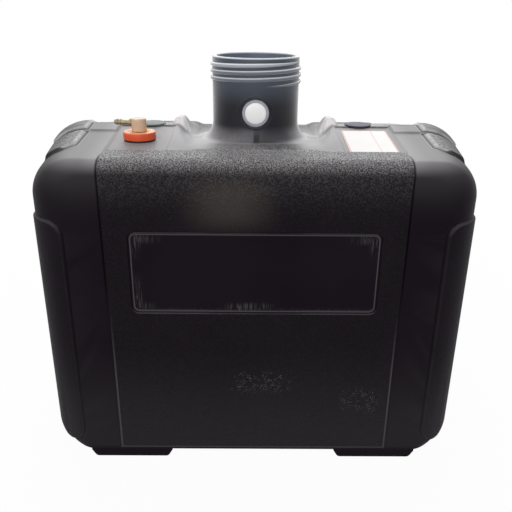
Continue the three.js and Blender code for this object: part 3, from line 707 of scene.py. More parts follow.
def roundedDistances(plain, edgeStep, shoulderStep, heelStep):
    depth, edge = tank["depth"], tank["edge"]

    def turned(radius, start, end, step):
        return [edge - radius + radius * math.sin(math.radians(angle))
                for angle in np.arange(start, end, step)]

    fineFrom = roundLines["fineFrom"]
    found = turned(edge, edgeStep, fineFrom, edgeStep)
    found += turned(edge, fineFrom, 90, edgeStep / roundLines["fineness"])
    found += turned(tank["shoulder"], shoulderStep, 90, shoulderStep)
    found += turned(tank["heel"], heelStep, 90, heelStep)
    kept = []
    for value in sorted(found):
        angle = math.degrees(math.asin(value / edge))
        if 90 - angle > roundLines["endGap"] and (
                not kept or angle - kept[-1] > roundLines["leastGap"]):
            kept.append(angle)
    rounding = [depth - edge + edge * math.sin(math.radians(angle)) for angle in kept]
    return np.concatenate([plain, rounding, [depth]])


# The places of the end's rings: shares along the top, side and underside, and angles round the
# corners; from stripTopShare on, the side's rings are fine enough for the strip's top edge
def ringStations(stripTopShare):
    corner = math.pi / 2
    if stripTopShare:
        runs = [ticks(0, (0.75, 0.06), (1, 0.02)),
                ticks(corner, (corner - 0.13, 0.012), (0.72, 0.036), (0.40, 0.018), (0, 0.04)),
                ticks(0, (stripTopShare, 0.02), (0.165, 0.0026), (0.9, 0.04), (1, 0.0055)),
                ticks(0, (-corner, 0.045)), ticks(0, (1, 0.09))]
    else:
        runs = [ticks(0, (1, 0.5)), ticks(corner, (0, 0.3)), ticks(0, (1, 0.2)),
                ticks(0, (-corner, 0.4)), ticks(0, (1, 0.5))]
    kinds = np.concatenate([np.full(len(run) - (kind > 0), kind) for kind, run in enumerate(runs)])
    values = np.concatenate([run[1:] if kind else run for kind, run in enumerate(runs)])
    return kinds[:, None], values[:, None]


def mirrored(points):
    return points * np.array([-1, 1, 1])


# The plain inside of the top, cut down where the neck's flange sits
def innerTop(across, distance, side):
    inward = -tank["wall"]
    away = outAt(distance, inward)
    height = topAt(away, side) + inward - tank["innerDrop"] - drawnIn(
        away, tank["depth"] + inward, tank["shoulder"] + inward)
    height = np.minimum(height, channelAt(across, distance, side) + inward)
    inSeat = np.hypot(across, distance) < neckSeat["radius"]
    height = np.where(inSeat, neckSeat["height"], height)
    return away, height, marked(0 * height)


# One skin of a half: the outside with all its relief, or the plain inside
def halfSkin(work, side, outside):
    skin = outerLines if outside else innerLines
    lines = {**skin["both"], **skin[side]}
    inward = -tank["wall"]
    distances = roundedDistances(lines["distances"], *lines["roundSteps"])
    columns = np.concatenate([-lines["columns"][:0:-1], lines["columns"]])
    heights = ticks(topAt(tank["depth"], side) - tank["shoulder"], *lines["faceRuns"])

    def topPoints(across, distance):
        formAt = topHeight if outside else innerTop
        away, height, marks = formAt(across, distance, side)
        return np.stack([across + 0 * height, side * away + 0 * height, height], -1), marks

    # Top, with the neck's opening and the blank ports' holes left for rings
    across, away = np.meshgrid(columns, distances)
    top, topMarks = topPoints(across, away)
    middleX = (columns[:-1] + columns[1:]) / 2
    middleD = (distances[:-1] + distances[1:]) / 2
    near = middleD[:, None] < lines["neckFar"]
    keep = ~(near & (np.abs(middleX) < lines["neckHalf"])[None, :])
    holes = []
    if side > 0:
        for sign in (-1, 1):
            low, high = sorted(sign * end for end in blankPort["cell"])
            inHole = (middleX > low) & (middleX < high)
            keep &= ~((middleD[:, None] < blankPort["cellFar"]) & inHole[None, :])
            holes.append((sign * blankPort["x"], low, high))
    work.sheet(top, topMarks, keep)
    loop = boxLoop(columns, distances, -lines["neckHalf"], lines["neckHalf"], lines["neckFar"],
                   False)
    neck, neckMarks = ring(loop, (0, 0), lines["neckRadii"], lines["neckSteps"], topPoints)
    work.sheet(neck, neckMarks)
    holeRims = []
    for centre, low, high in holes:
        loop = boxLoop(columns, distances, low, high, blankPort["cellFar"], True)
        rows, marks = ring(loop, (centre, blankPort["y"]), lines["holeRadii"], lines["holeSteps"],
                           topPoints)
        work.sheet(rows, marks)
        angle = np.unwrap(np.arctan2(rows[0, :, 1] - blankPort["y"], rows[0, :, 0] - centre))
        holeRims.append((rows[0], angle))

    # Underside and front or back face
    lowGrowth = grooveAt(distances[::-1]) if outside else inward
    low = endPoint(np.array([4]), np.array([0.0]), distances[::-1], lowGrowth, side)
    lowY, lowZ = low[1], low[2]
    underside = np.stack(np.broadcast_arrays(
        columns[None, :], lowY[:, None] + 0 * columns, lowZ[:, None] + 0 * columns), -1)
    work.sheet(underside)
    faceX, faceZ = np.meshgrid(columns, heights)
    if outside:
        growth, texture = faceRelief(faceX, faceZ, side)
    else:
        growth, texture = inward + 0 * faceX, 0 * faceX
    face = np.stack([faceX, side * (tank["depth"] + growth), faceZ], -1)
    face[0] = top[-1]
    face[-1] = underside[0]
    work.sheet(face, marked(texture))

    # Ends: rings round the side, each from the seam to the front or back face
    kinds, values = ringStations(lines.get("stripTopShare"))
    away = distances[None, :]
    if outside:
        x, y, z, along = endPoint(kinds, values, away, 0.0, side)
        growth, marks = endRelief(z, along, away, side)
        x, y, z, along = endPoint(kinds, values, away, growth, side)
    else:
        x, y, z, along = endPoint(kinds, values, away, inward + 0 * values, side, tank["innerDrop"])
        marks = marked(0 * x)
    end = np.stack([x, y, z], -1)
    for turn in (lambda points: points, mirrored):
        work.sheet(turn(end), marks)
        edge = turn(face[:, -1])
        rim = turn(end[:, -1])
        edgeKeys = np.linspace(0, 1, len(edge))
        lengths = np.hypot(*np.diff(end[:, -1][:, ::2], axis=0).T)
        rimKeys = np.concatenate([[0], np.cumsum(lengths) / lengths.sum()])
        work.strip(edge, rim, edgeKeys, rimKeys)

    # The whole edge along the seam, from the neck round by the underside and back to it
    right = columns >= lines["neckHalf"]
    half = np.vstack([neck[:, 0], top[0, right][1:], end[1:, 0], underside[-1, ::-1][1:]])
    leftColumns = columns <= -lines["neckHalf"]
    otherSide = np.vstack([mirrored(end[:-1, 0])[::-1], top[0, leftColumns][1:],
                           neck[:, -1][::-1][1:]])
    seam = np.vstack([half, otherSide])
    return {"seam": seam, "neckRim": neck[0], "holeRims": holeRims}


def seamKeys(points):
    angle = np.degrees(np.arctan2(points[:, 0], points[:, 2] - tank["middleHeight"])) % 360
    return np.maximum.accumulate(angle)


# A foot's outline has corners of (across, height, rounding). Each slice of it is drawn in by the
# first value, towards the centre, and stands at the second, its distance from the seam
foot = {
    "outline": ((89.0, 11.0, 0), (89.0, 8.0, 0), (93.6, 0.0, 4.5), (173.0, 0.0, 4.5),
                (178.0, 8.0, 0), (178.0, 11.0, 0)),
    "slices": ((4.0, 71.6), (1.2, 71.6), (0.35, 71.95), (0, 72.8), (0, 124.4), (0.35, 125.25),
               (1.2, 125.6), (4.0, 125.6)),
    "centre": (133.5, 9.0), "halfWidth": 44.5, "heightShare": 0.35, "roundSteps": 5,
}


def addFeet(work, side):
    outline = roundedOutline(foot["outline"], foot["roundSteps"])
    centre = np.array(foot["centre"])
    for sign in (-1, 1):
        rows = []
        for inset, away in foot["slices"]:
            scale = np.array([1 - inset / foot["halfWidth"],
                              1 - inset / foot["centre"][1] * foot["heightShare"]])
            drawn = centre + (outline - centre) * scale
            drawn[:, 1] = np.maximum(drawn[:, 1], 0.0)
            rows.append(np.stack([sign * drawn[:, 0], np.full(len(drawn), side * away),
                                  drawn[:, 1]], -1))
        rows = np.array(rows)
        work.sheet(np.concatenate([rows, rows[:, :1]], 1))
        for cap in (rows[0], rows[-1]):
            fan = np.stack([cap, np.broadcast_to(cap.mean(0), cap.shape)])
            work.sheet(np.concatenate([fan, fan[:, :1]], 1))


# A corner this near to straight isn't rounded, and no rounding takes more of a side than this
cornerLimits = {"straight": 0.01, "sideShare": 0.49}


def roundedOutline(corners, steps):
    points = []
    count = len(corners)
    for index, (x, z, radius) in enumerate(corners):
        here = np.array([x, z])
        if radius <= 0:
            points.append(here)
            continue
        before = np.array(corners[index - 1][:2]) - here
        after = np.array(corners[(index + 1) % count][:2]) - here
        one, two = before / np.hypot(*before), after / np.hypot(*after)
        half = math.acos(np.clip(one @ two, -1, 1)) / 2
        if abs(half - math.pi / 2) < cornerLimits["straight"]:
            points.append(here)
            continue
        most = cornerLimits["sideShare"]
        reach = min(radius / math.tan(half), most * np.hypot(*before), most * np.hypot(*after))
        radius = reach * math.tan(half)
        centre = here + (one + two) / np.hypot(*(one + two)) * radius / math.sin(half)
        start, end = here + one * reach - centre, here + two * reach - centre
        turn = math.atan2(start[0] * end[1] - start[1] * end[0], start @ end)
        for step in range(steps + 1):
            angle = turn * step / steps
            turned = np.array([start[0] * math.cos(angle) - start[1] * math.sin(angle),
                               start[0] * math.sin(angle) + start[1] * math.cos(angle)])
            points.append(centre + turned)
    return np.array(points)


def makeHalf(name, side):
    work = Patchwork()
    outside = halfSkin(work, side, True)
    inside = halfSkin(work, side, False)
    work.strip(outside["seam"], inside["seam"], seamKeys(outside["seam"]),
               seamKeys(inside["seam"]))
    rims = [outside["neckRim"], inside["neckRim"]]
    keys = [np.unwrap(np.arctan2(side * rim[:, 1], rim[:, 0])) for rim in rims]
    work.strip(*rims, *keys)
    for outer, inner in zip(outside["holeRims"], inside["holeRims"]):
        work.strip(outer[0], inner[0], outer[1] * np.sign(outer[1][-1] - outer[1][0]),
                   inner[1] * np.sign(inner[1][-1] - inner[1][0]))
    addFeet(work, side)
    return work.make(name)


# Turned pieces: a closed outline of (radius, height, rounding) corners, spun about an axis
lathe = {"segments": 96, "roundSteps": 4, "domeSteps": 7}


def spin(outline, segments):
    profile = roundedOutline(outline, lathe["roundSteps"])
    profile = np.vstack([profile, profile[:1]])
    angles = np.linspace(0, 2 * math.pi, segments + 1)
    radius, height = profile[:, 0][:, None], profile[:, 1][:, None]
    return np.stack([radius * np.cos(angles), radius * np.sin(angles),
                     height + 0 * angles], -1)


def aimed(points, place, heading, turn):
    if heading == "front":
        points = np.stack([points[..., 0], -points[..., 2], points[..., 1]], -1)
    if heading == "side":
        points = np.stack([points[..., 2], points[..., 1], -points[..., 0]], -1)
        angle = math.radians(turn)
        points = np.stack([
            points[..., 0] * math.cos(angle) - points[..., 1] * math.sin(angle),
            points[..., 0] * math.sin(angle) + points[..., 1] * math.cos(angle),
            points[..., 2]], -1)
    return points + np.array(place)


def makeTurned(name, outline, place, heading="up", turn=0.0, segments=lathe["segments"]):
    work = Patchwork()
    work.sheet(aimed(spin(outline, segments), place, heading, turn))
    return work.make(name)


def domed(low, high, radius):
    turns = np.linspace(1, 0, lathe["domeSteps"] + 1)
    return [(radius * turn, low + (high - low) * (1 - turn ** 2), 0) for turn in turns]


# The filler neck: its foot flows into the tank's top, and its side port has a round recess in a
# window of its mesh. The gaps and rows are those of the mesh's rings
neck = {
    "radius": 45.5, "bore": 41.4, "rim": 415.6, "rimRound": 1.7, "boreRound": 0.9,
    "boreFlare": 26.1, "boreFoot": 330.7,
    "flangeRadius": 65.0, "flangeLow": 315.0, "flangeTop": 319.0,
    "windowLow": 342.0, "windowHigh": 384.0, "windowDegrees": 25.0,
    "segments": 144, "seamDegrees": (-1.8, -1.3, -0.87, -0.43, 0.43, 0.87, 1.3, 1.8),
    "footRows": 14, "windowRows": 7, "roundRows": 6,
    "wallGap": 3.4, "upperGap": 5.0, "boreGap": 8.0, "boreFootGap": 3.0,
}
# Each step of the recess is (radius, depth), from the neck's wall in to the hole's edge
port = {
    "height": 362.4, "hole": 13.8, "boreRing": 15.0, "ringShares": (0.4, 0.8),
    "steps": ((17.9, 0.0), (17.2, -0.12), (16.8, -0.1), (16.4, 0.15), (16.15, 0.6), (16.0, 1.2),
              (15.7, 1.7), (15.1, 1.9), (14.4, 1.9), (13.8, 1.9)),
}
nearly = 1e-9


def neckWallAt(height, curve):
    drop = np.clip(flare["top"] - height, 0, flare["radius"])
    return flare["neckRadius"] + flare["radius"] - np.sqrt(curve ** 2 - drop ** 2)


def neckOuterAt(height):
    return neckWallAt(height, flare["radius"])


def neckBoreAt(height):
    return neckWallAt(height, neck["boreFlare"])


def neckFoot(radius, angles):
    across, along = radius * np.cos(angles), radius * np.sin(angles)
    front, rear = [topHeight(across, np.abs(along), side)[1] for side in (-1, 1)]
    return np.stack([across, along, np.where(along < 0, front, rear)], -1)


# Rings from the neck's foot up the outside, over the rim and down the bore to the flange, and the
# rows between which the window lies on the outside and in the bore
def neckRings(angles):
    reach = flare["neckRadius"] + flare["radius"]
    rows = []

    def level(radius, height):
        rows.append(np.stack([radius * np.cos(angles), radius * np.sin(angles),
                              height + 0 * angles], -1))

    def levels(radius, start, end, gap):
        for height in ticks(start, (end, gap))[1:]:
            level(radius, height)

    # Foot and flare, from the outside in
    full = math.acos((reach - flare["foot"]) / flare["radius"])
    window = math.asin((flare["top"] - neck["windowLow"]) / flare["radius"])
    for turn in np.concatenate([np.linspace(full, window, neck["footRows"]),
                                np.linspace(window, 0, neck["windowRows"])[1:]]):
        rows.append(neckFoot(reach - flare["radius"] * math.cos(turn), angles))
        if turn <= window + nearly:
            rows[-1][:, 2] = flare["top"] - flare["radius"] * math.sin(turn)
            if turn >= window - nearly:
                outerLow = len(rows) - 1
    levels(neck["radius"], flare["top"], neck["windowHigh"], neck["wallGap"])
    outerHigh = len(rows) - 1

    # Rim, rounded outside and in the bore
    levels(neck["radius"], neck["windowHigh"], neck["rim"] - neck["rimRound"], neck["upperGap"])
    turns = np.linspace(0, math.pi / 2, neck["roundRows"])
    for turn in turns[1:]:
        level(neck["radius"] - neck["rimRound"] * (1 - math.cos(turn)),
              neck["rim"] - neck["rimRound"] * (1 - math.sin(turn)))
    for turn in np.linspace(math.pi / 2, 0, neck["roundRows"]):
        level(neck["bore"] + neck["boreRound"] * (1 - math.cos(turn)),
              neck["rim"] - neck["boreRound"] * (1 - math.sin(turn)))
    levels(neck["bore"], neck["rim"] - neck["boreRound"], neck["windowHigh"], neck["boreGap"])
    boreHigh = len(rows) - 1

    # Bore, with as many rings beside the window as the outside has
    wallHeights = ticks(flare["top"], (neck["windowHigh"], neck["wallGap"]))
    for height in wallHeights[::-1][1:]:
        level(neck["bore"], height)
    for turn in np.linspace(0, window, neck["windowRows"])[1:]:
        height = flare["top"] - flare["radius"] * math.sin(turn)
        level(neckBoreAt(height), height)
    boreLow = len(rows) - 1
    for height in ticks(neck["windowLow"], (neck["boreFoot"], neck["boreFootGap"]))[1:]:
        level(neckBoreAt(height), height)
    level(neckBoreAt(neck["boreFoot"]), neck["flangeLow"])
    level(neck["flangeRadius"], neck["flangeLow"])
    level(neck["flangeRadius"], neck["flangeTop"])
    level(flare["foot"], neck["flangeTop"])
    rows.append(rows[0])
    return np.array(rows), (outerLow, outerHigh), (boreHigh, boreLow)


# The recess and hole of the side port, from the window's edge outside to its edge in the bore
def portRecess(outerLoop, boreLoop):
    centre = np.array([0, port["height"]])
    offset, boreOffset = outerLoop[:, ::2] - centre, boreLoop[:, ::2] - centre
    unit = offset / np.hypot(offset[:, 0], offset[:, 1])[:, None]

    def onWall(flat, wallAt, sunk=0.0):
        height = port["height"] + flat[:, 1]
        radius = wallAt(height)
        return np.stack([flat[:, 0], -np.sqrt(radius ** 2 - flat[:, 0] ** 2) + sunk, height], -1)

    first, boreRing = unit * port["steps"][0][0], unit * port["boreRing"]
    recess = [outerLoop]
    recess += [onWall(offset + (first - offset) * share, neckOuterAt)
               for share in port["ringShares"]]
    recess += [onWall(unit * radius, neckOuterAt, sunk) for radius, sunk in port["steps"]]
    recess += [onWall(unit * port["hole"], neckBoreAt), onWall(boreRing, neckBoreAt),
               onWall(boreRing + (boreOffset - boreRing) * 0.5, neckBoreAt), boreLoop]
    return np.array(recess)


def makeNeck():
    degrees = list(np.linspace(-90, 270, neck["segments"] + 1))
    degrees += [seam + turn for seam in (0, 180) for turn in neck["seamDegrees"]]
    angles = np.radians(sorted(degrees))
    segments = len(angles) - 1
    rows, outerWindow, boreWindow = neckRings(angles)

    half = round(neck["windowDegrees"] / 360 * neck["segments"])
    columnAt = (np.arange(segments) < half) | (np.arange(segments) >= segments - half)
    rowAt = np.arange(len(rows) - 1)
    inWindow = [(rowAt >= first) & (rowAt < last) for first, last in (outerWindow, boreWindow)]
    keep = ~((inWindow[0] | inWindow[1])[:, None] & columnAt[None, :])
    work = Patchwork()
    work.sheet(rows, keep=keep)

    columns = np.concatenate([np.arange(segments - half, segments), np.arange(half + 1)])

    def windowLoop(low, high):
        step = 1 if high > low else -1
        lines = np.arange(low, high + step, step)
        loop = [rows[low, column] for column in columns]
        loop += [rows[line, columns[-1]] for line in lines[1:]]
        loop += [rows[high, column] for column in columns[::-1][1:]]
        loop += [rows[line, columns[0]] for line in lines[::-1][1:]]
        return np.array(loop)

    work.sheet(portRecess(windowLoop(*outerWindow), windowLoop(*boreWindow[::-1])))
    return work.make("fillerNeck")


# The cap thread: a rounded rib swept up the neck by Geometry Nodes, fading out at both ends
thread = {
    "turns": 3.45, "pitch": 6.8, "pathRadius": 44.9, "low": 387.7, "startDegrees": -124.0,
    "rootWidth": 5.2, "crestWidth": 2.2, "height": 2.6, "rounding": 0.6, "stepsPerTurn": 96,
    "fade": 0.10, "profileTurn": -90.0, "least": 0.03, "roundSteps": 4,
}


# A Geometry Nodes tree whose named sizes are inputs of its modifier
class Graph:
    def __init__(self, name, sizes):
        self.tree = bpy.data.node_groups.new(name, "GeometryNodeTree")
        self.identifiers = {}
        face = self.tree.interface
        face.new_socket("Geometry", in_out="INPUT", socket_type="NodeSocketGeometry")
        for key, value in sizes.items():
            kind = "NodeSocketInt" if isinstance(value, int) else "NodeSocketFloat"
            made = face.new_socket(key, in_out="INPUT", socket_type=kind)
            made.default_value = value
            self.identifiers[key] = made.identifier
        face.new_socket("Geometry", in_out="OUTPUT", socket_type="NodeSocketGeometry")
        self.inputs = self.tree.nodes.new("NodeGroupInput")
        self.output = self.tree.nodes.new("NodeGroupOutput")

    def size(self, name):
        return self.inputs.outputs[name]

    def node(self, kind, settings=None, inputs=None, output=0):
        made = self.tree.nodes.new(kind)
        for key, value in (settings or {}).items():
            setattr(made, key, value)
        for key, value in (inputs or {}).items():
            if isinstance(value, bpy.types.NodeSocket):
                self.tree.links.new(value, made.inputs[key])
            else:
                made.inputs[key].default_value = value
        return made.outputs[output]

    def math(self, operation, first, second=0.0):
        return self.node("ShaderNodeMath", {"operation": operation}, {0: first, 1: second})

    def finish(self, geometry, material):
        real = self.node("GeometryNodeRealizeInstances", inputs={"Geometry": geometry})
        painted = self.node("GeometryNodeSetMaterial", inputs={"Geometry": real,
                                                               "Material": material})
        self.tree.links.new(painted, self.output.inputs[0])

    def grow(self, name, sizes):
        seed = bpy.data.objects.new(name, bpy.data.meshes.new(name + "Seed"))
        bpy.context.scene.collection.objects.link(seed)
        modifier = seed.modifiers.new("growth", "NODES")
        modifier.node_group = self.tree
        for key, value in sizes.items():
            modifier[self.identifiers[key]] = value
        evaluated = seed.evaluated_get(bpy.context.evaluated_depsgraph_get())
        mesh = bpy.data.meshes.new_from_object(evaluated)
        seed.modifiers.clear()
        seed.data = mesh
        return seed


def makeThread(material):
    sizes = {"pathRadius": thread["pathRadius"] * mm, "turns": thread["turns"],
             "climb": thread["turns"] * thread["pitch"] * mm, "rootWidth": thread["rootWidth"] * mm,
             "crestWidth": thread["crestWidth"] * mm, "ribHeight": thread["height"] * mm,
             "rounding": thread["rounding"] * mm, "stepsPerTurn": thread["stepsPerTurn"],
             "fade": thread["fade"], "least": thread["least"]}
    graph = Graph("threadSweep", sizes)
    path = graph.node("GeometryNodeCurveSpiral", inputs={
        "Resolution": graph.size("stepsPerTurn"), "Rotations": graph.size("turns"),
        "Start Radius": graph.size("pathRadius"), "End Radius": graph.size("pathRadius"),
        "Height": graph.size("climb"), "Reverse": True,
    })
    upright = graph.node("GeometryNodeSetCurveNormal", {"mode": "Z_UP"}, {"Curve": path})
    factor = graph.node("GeometryNodeSplineParameter")
    rise = graph.math("DIVIDE", factor, graph.size("fade"))
    fall = graph.math("DIVIDE", graph.math("SUBTRACT", 1.0, factor), graph.size("fade"))
    ends = graph.math("MAXIMUM", graph.math("MINIMUM", graph.math("MINIMUM", rise, fall), 1.0),
                      graph.size("least"))
    rib = graph.node("GeometryNodeCurvePrimitiveQuadrilateral", {"mode": "TRAPEZOID"}, {
        "Height": graph.size("ribHeight"), "Bottom Width": graph.size("rootWidth"),
        "Top Width": graph.size("crestWidth"), "Offset": 0.0,
    })
    smooth = graph.node("GeometryNodeFilletCurve", {"mode": "POLY"}, {
        "Curve": rib, "Count": thread["roundSteps"], "Radius": graph.size("rounding"),
    })
    stood = graph.node("GeometryNodeTransform", inputs={
        "Geometry": smooth, "Rotation": (0.0, 0.0, math.radians(thread["profileTurn"])),
        "Translation": (thread["height"] / 2 * mm, 0.0, 0.0),
    })
    swept = graph.node("GeometryNodeCurveToMesh", inputs={
        "Curve": upright, "Profile Curve": stood, "Scale": ends, "Fill Caps": True,
    })
    placed = graph.node("GeometryNodeTransform", inputs={
        "Geometry": swept, "Rotation": (0.0, 0.0, math.radians(thread["startDegrees"])),
        "Translation": (0.0, 0.0, thread["low"] * mm),
    })
    graph.finish(placed, material)
    piece = graph.grow("neckThread", sizes)
    piece.data.polygons.foreach_set("use_smooth", [True] * len(piece.data.polygons))
    return piece


# The neck's side port: a grey rubber grommet with a white push-in plug. Places along the port are
# distances from the neck's axis
portFit = {
    "back": 35.7, "flangeFront": 37.7, "flangeRadius": 16.6, "grommetRadius": 13.5,
    "grommetFace": 44.6, "plugHole": 11.0, "plugRadius": 10.85, "plugChamfer": 0.6,
    "plugEdge": 44.4, "domeInset": 0.5, "domeRise": 0.55, "plugFace": 46.0,
}


def makePortGrommet():
    at = portFit
    outline = [
        (at["plugHole"], at["back"], 0.3), (at["flangeRadius"], at["back"], 0.6),
        (at["flangeRadius"], at["flangeFront"], 0.6), (at["grommetRadius"], at["flangeFront"], 0),
        (at["grommetRadius"], at["grommetFace"], 1.0), (at["plugHole"], at["grommetFace"], 0.5),
    ]
    return makeTurned("portGrommet", outline, (0, 0, port["height"]), "front")


def makePortPlug():
    at = portFit
    outline = [(0, at["back"], 0), (at["plugRadius"] - at["plugChamfer"], at["back"], 0),
               (at["plugRadius"], at["back"] + at["plugChamfer"], 0),
               (at["plugRadius"], at["plugEdge"], 0.6)]
    outline += domed(at["plugEdge"] + at["domeRise"], at["plugFace"],
                     at["plugRadius"] - at["domeInset"])
    return makeTurned("portPlug", outline, (0, 0, port["height"]), "front")


# The hose outlet: bulkhead, gasket, nut, swivel elbow and barb, all about one upright axis
outlet = {"place": (-117.0, -50.0, 0.0)}
bulkhead = {
    "low": 300.0, "tailBore": 7.5, "tailRadius": 10.0, "flangeLow": 322.0, "flangeTop": 326.0,
    "flangeRadius": 15.0, "stemRadius": 8.9, "top": 345.0, "mouth": 7.0, "mouthLow": 342.8,
    "bore": 5.0, "boreLow": 316.0,
}
gasket = {"hole": 9.3, "radius": 15.8, "low": 336.0, "top": 337.3}
nut = {
    "hole": 9.3, "radius": 16.2, "low": 337.6, "top": 345.2,
    "dishRadius": 11.5, "dishSlope": 0.6, "dishDepth": 0.9,
}
elbow = {
    "bore": 2.4, "spigot": 4.7, "low": 312.0, "groove": 3.6, "grooveLow": 313.3,
    "grooveTop": 315.0, "bodyLow": 345.3, "radius": 7.5, "top": 357.9,
}
barb = {
    "height": 353.3, "turn": 166.5, "reach": 26.0, "bore": 1.5, "root": 3.4, "sunk": 2.7,
    "collar": 3.9, "collarStart": 0.3, "collarEnd": 2.3, "waist": 2.3, "tooth": 3.1,
    "toothLength": 3.6, "segments": 48,
}


def makeBulkhead():
    at = bulkhead
    return makeTurned("outletBulkhead", [
        (at["tailBore"], at["low"], 0.4), (at["tailRadius"], at["low"], 0.6),
        (at["tailRadius"], at["flangeLow"], 0.8), (at["flangeRadius"], at["flangeLow"], 0.8),
        (at["flangeRadius"], at["flangeTop"], 0), (at["stemRadius"], at["flangeTop"], 0),
        (at["stemRadius"], at["top"], 0.5), (at["mouth"], at["top"], 0.3),
        (at["mouth"], at["mouthLow"], 0.2), (at["bore"], at["mouthLow"], 0.3),
        (at["bore"], at["boreLow"], 0.3), (at["tailBore"], at["boreLow"], 0),
    ], outlet["place"])


def makeGasket():
    at = gasket
    return makeTurned("outletGasket", [
        (at["hole"], at["low"], 0), (at["radius"], at["low"], 0.5),
        (at["radius"], at["top"], 0.5), (at["hole"], at["top"], 0),
    ], outlet["place"])


def makeNut():
    at = nut
    floor = at["top"] - at["dishDepth"]
    return makeTurned("outletNut", [
        (at["hole"], at["low"], 0.3), (at["radius"], at["low"], 0.7),
        (at["radius"], at["top"], 1.1), (at["dishRadius"], at["top"], 0.5),
        (at["dishRadius"] - at["dishSlope"], floor, 0.4), (at["hole"], floor, 0.3),
    ], outlet["place"])


def makeElbow():
    at = elbow
    boreTop = barb["height"] + at["bore"]
    return makeTurned("elbowBody", [
        (at["bore"], at["low"], 0), (at["spigot"], at["low"], 0.4),
        (at["spigot"], at["grooveLow"], 0), (at["groove"], at["grooveLow"], 0),
        (at["groove"], at["grooveTop"], 0), (at["spigot"], at["grooveTop"], 0),
        (at["spigot"], at["bodyLow"], 0.3), (at["radius"], at["bodyLow"], 0.5),
        (at["radius"], at["top"], 1.4), (0, at["top"], 0), (0, boreTop, 0),
        (at["bore"], boreTop, 0),
    ], outlet["place"])


def makeBarb():
    at, start = barb, elbow["radius"]
    outline = [(at["bore"], start - at["sunk"], 0), (at["root"], start - at["sunk"], 0),
               (at["root"], start + at["collarStart"], 0),
               (at["collar"], start + at["collarStart"], 0.4),
               (at["collar"], start + at["collarEnd"], 0.5),
               (at["waist"], start + at["collarEnd"], 0.3)]
    for tooth in (2, 1):
        back = at["reach"] - tooth * at["toothLength"]
        outline += [(at["waist"], back, 0.15), (at["tooth"], back, 0.3)]
    outline += [(at["waist"], at["reach"], 0.3), (at["bore"], at["reach"], 0.2)]
    place = (*outlet["place"][:2], at["height"])
    return makeTurned("hoseBarb", outline, place, "side", at["turn"], at["segments"])


# Push-in blanks and their seals, in the spot faces behind the seam
blank = {
    "sealTop": 341.35, "sealRadius": 13.4, "headLow": 341.4, "headRadius": 14.5,
    "headTop": 343.3, "domeTop": 343.7, "domeInset": 1.3, "shankRadius": 5.5, "shankLow": 326.6,
    "tipInset": 0.7, "tipLength": 0.9,
}


def blankPlace(side):
    return side * blankPort["x"], blankPort["y"], 0


def makeBlank(name, side):
    at = blank
    outline = [(0, at["shankLow"], 0), (at["shankRadius"] - at["tipInset"], at["shankLow"], 0),
               (at["shankRadius"], at["shankLow"] + at["tipLength"], 0),
               (at["shankRadius"], at["headLow"], 0.3), (at["headRadius"], at["headLow"], 0.4),
               (at["headRadius"], at["headTop"], 0.9)]
    outline += domed(at["headTop"], at["domeTop"], at["headRadius"] - at["domeInset"])
    return makeTurned(name, outline, blankPlace(side))


def makeSeal(name, side):
    hole, low = blankPort["hole"], blankPort["height"]
    radius, top = blank["sealRadius"], blank["sealTop"]
    return makeTurned(name, [
        (hole, low, 0), (radius, low, 0.3), (radius, top, 0.3), (hole, top, 0),
    ], blankPlace(side))


# Each ring of the label is (share of the outline, height over the sunk panel)
label = {
    "left": 91.6, "right": 139.0, "back": 13.0, "front": 89.3, "corner": 2.0, "cornerSteps": 6,
    "rings": ((0, 0.05), (0.98, 0.05), (1, 0.1), (1, 0.45), (0.996, 0.55), (0.985, 0.55),
              (0.6, 0.55), (0, 0.55)),
}


def makeLabel():
    at = label
    corners = [(at["left"], at["back"]), (at["right"], at["back"]), (at["right"], at["front"]),
               (at["left"], at["front"])]
    outline = roundedOutline([(x, away, at["corner"]) for x, away in corners], at["cornerSteps"])
    outline = np.vstack([outline, outline[:1]])
    centre = np.array([(at["left"] + at["right"]) / 2, (at["back"] + at["front"]) / 2])

    def level(share, lift):
        flat = centre + (outline - centre) * share
        height = topAt(flat[:, 1], -1) - panel["depth"] + lift
        return np.stack([flat[:, 0], -flat[:, 1], height], -1)

    work = Patchwork()
    work.sheet(np.array([level(share, lift) for share, lift in at["rings"]]))
    return work.make("blankLabel")


# Finishes. Two values are where a mark starts and ends its change, and four add its levels there;
# three are the ends that a mark lies within and its fade. But pebble, peel and the noises are
# (scale, detail, roughness), and scales are along X, Y and Z. Lengths are in millimetres
frontFrom = (119.0, 123.0)


def frontOnly(away):
    return (away * -1).ramp(*frontFrom)


# How far a point of the front lies inside the plate's outline
def insidePlate(across, height):
    outX = abs(across) - (plate["halfWidth"] - plate["corner"])
    outZ = abs(height - plate["centre"]) - (plate["halfHeight"] - plate["corner"])
    outside = outX.most(0.0).hypot(outZ.most(0.0))
    return plate["corner"] - outside - outX.most(outZ).least(0.0)


def within(value, low, high, fade):
    return value.ramp(low - fade, low + fade) * (1 - value.ramp(high - fade, high + fade))


# How strong each pale mark on the tank is. The marks on upward and upper faces, near the neck, on
# the pads and fading down the front are painted sheen, glow is a painted warm reflection, and rim,
# edge, foot and the bevels' mark are painted highlights; beforeNeck is how much of the sheen is
# taken off in front of the neck, as painted shade. Streak and speck are wear, lowLine sets how
# much of it lies low on the front, low makes the front paler towards the bottom and grit is the
# grain's own tone
scuffAndLight = {
    "rim": 0.050, "streak": 0.055, "lowLine": 0.5, "speck": 0.18, "edge": 0.055, "foot": 0.7,
    "paintedShine": 0.30, "upwardSheen": 0.060, "topSheen": 0.20, "nearNeck": 0.22, "beforeNeck": 0.62, "pad": 0.08,
    "fade": 0.028, "glow": 0.034, "low": 0.013, "grit": 0.003,
}
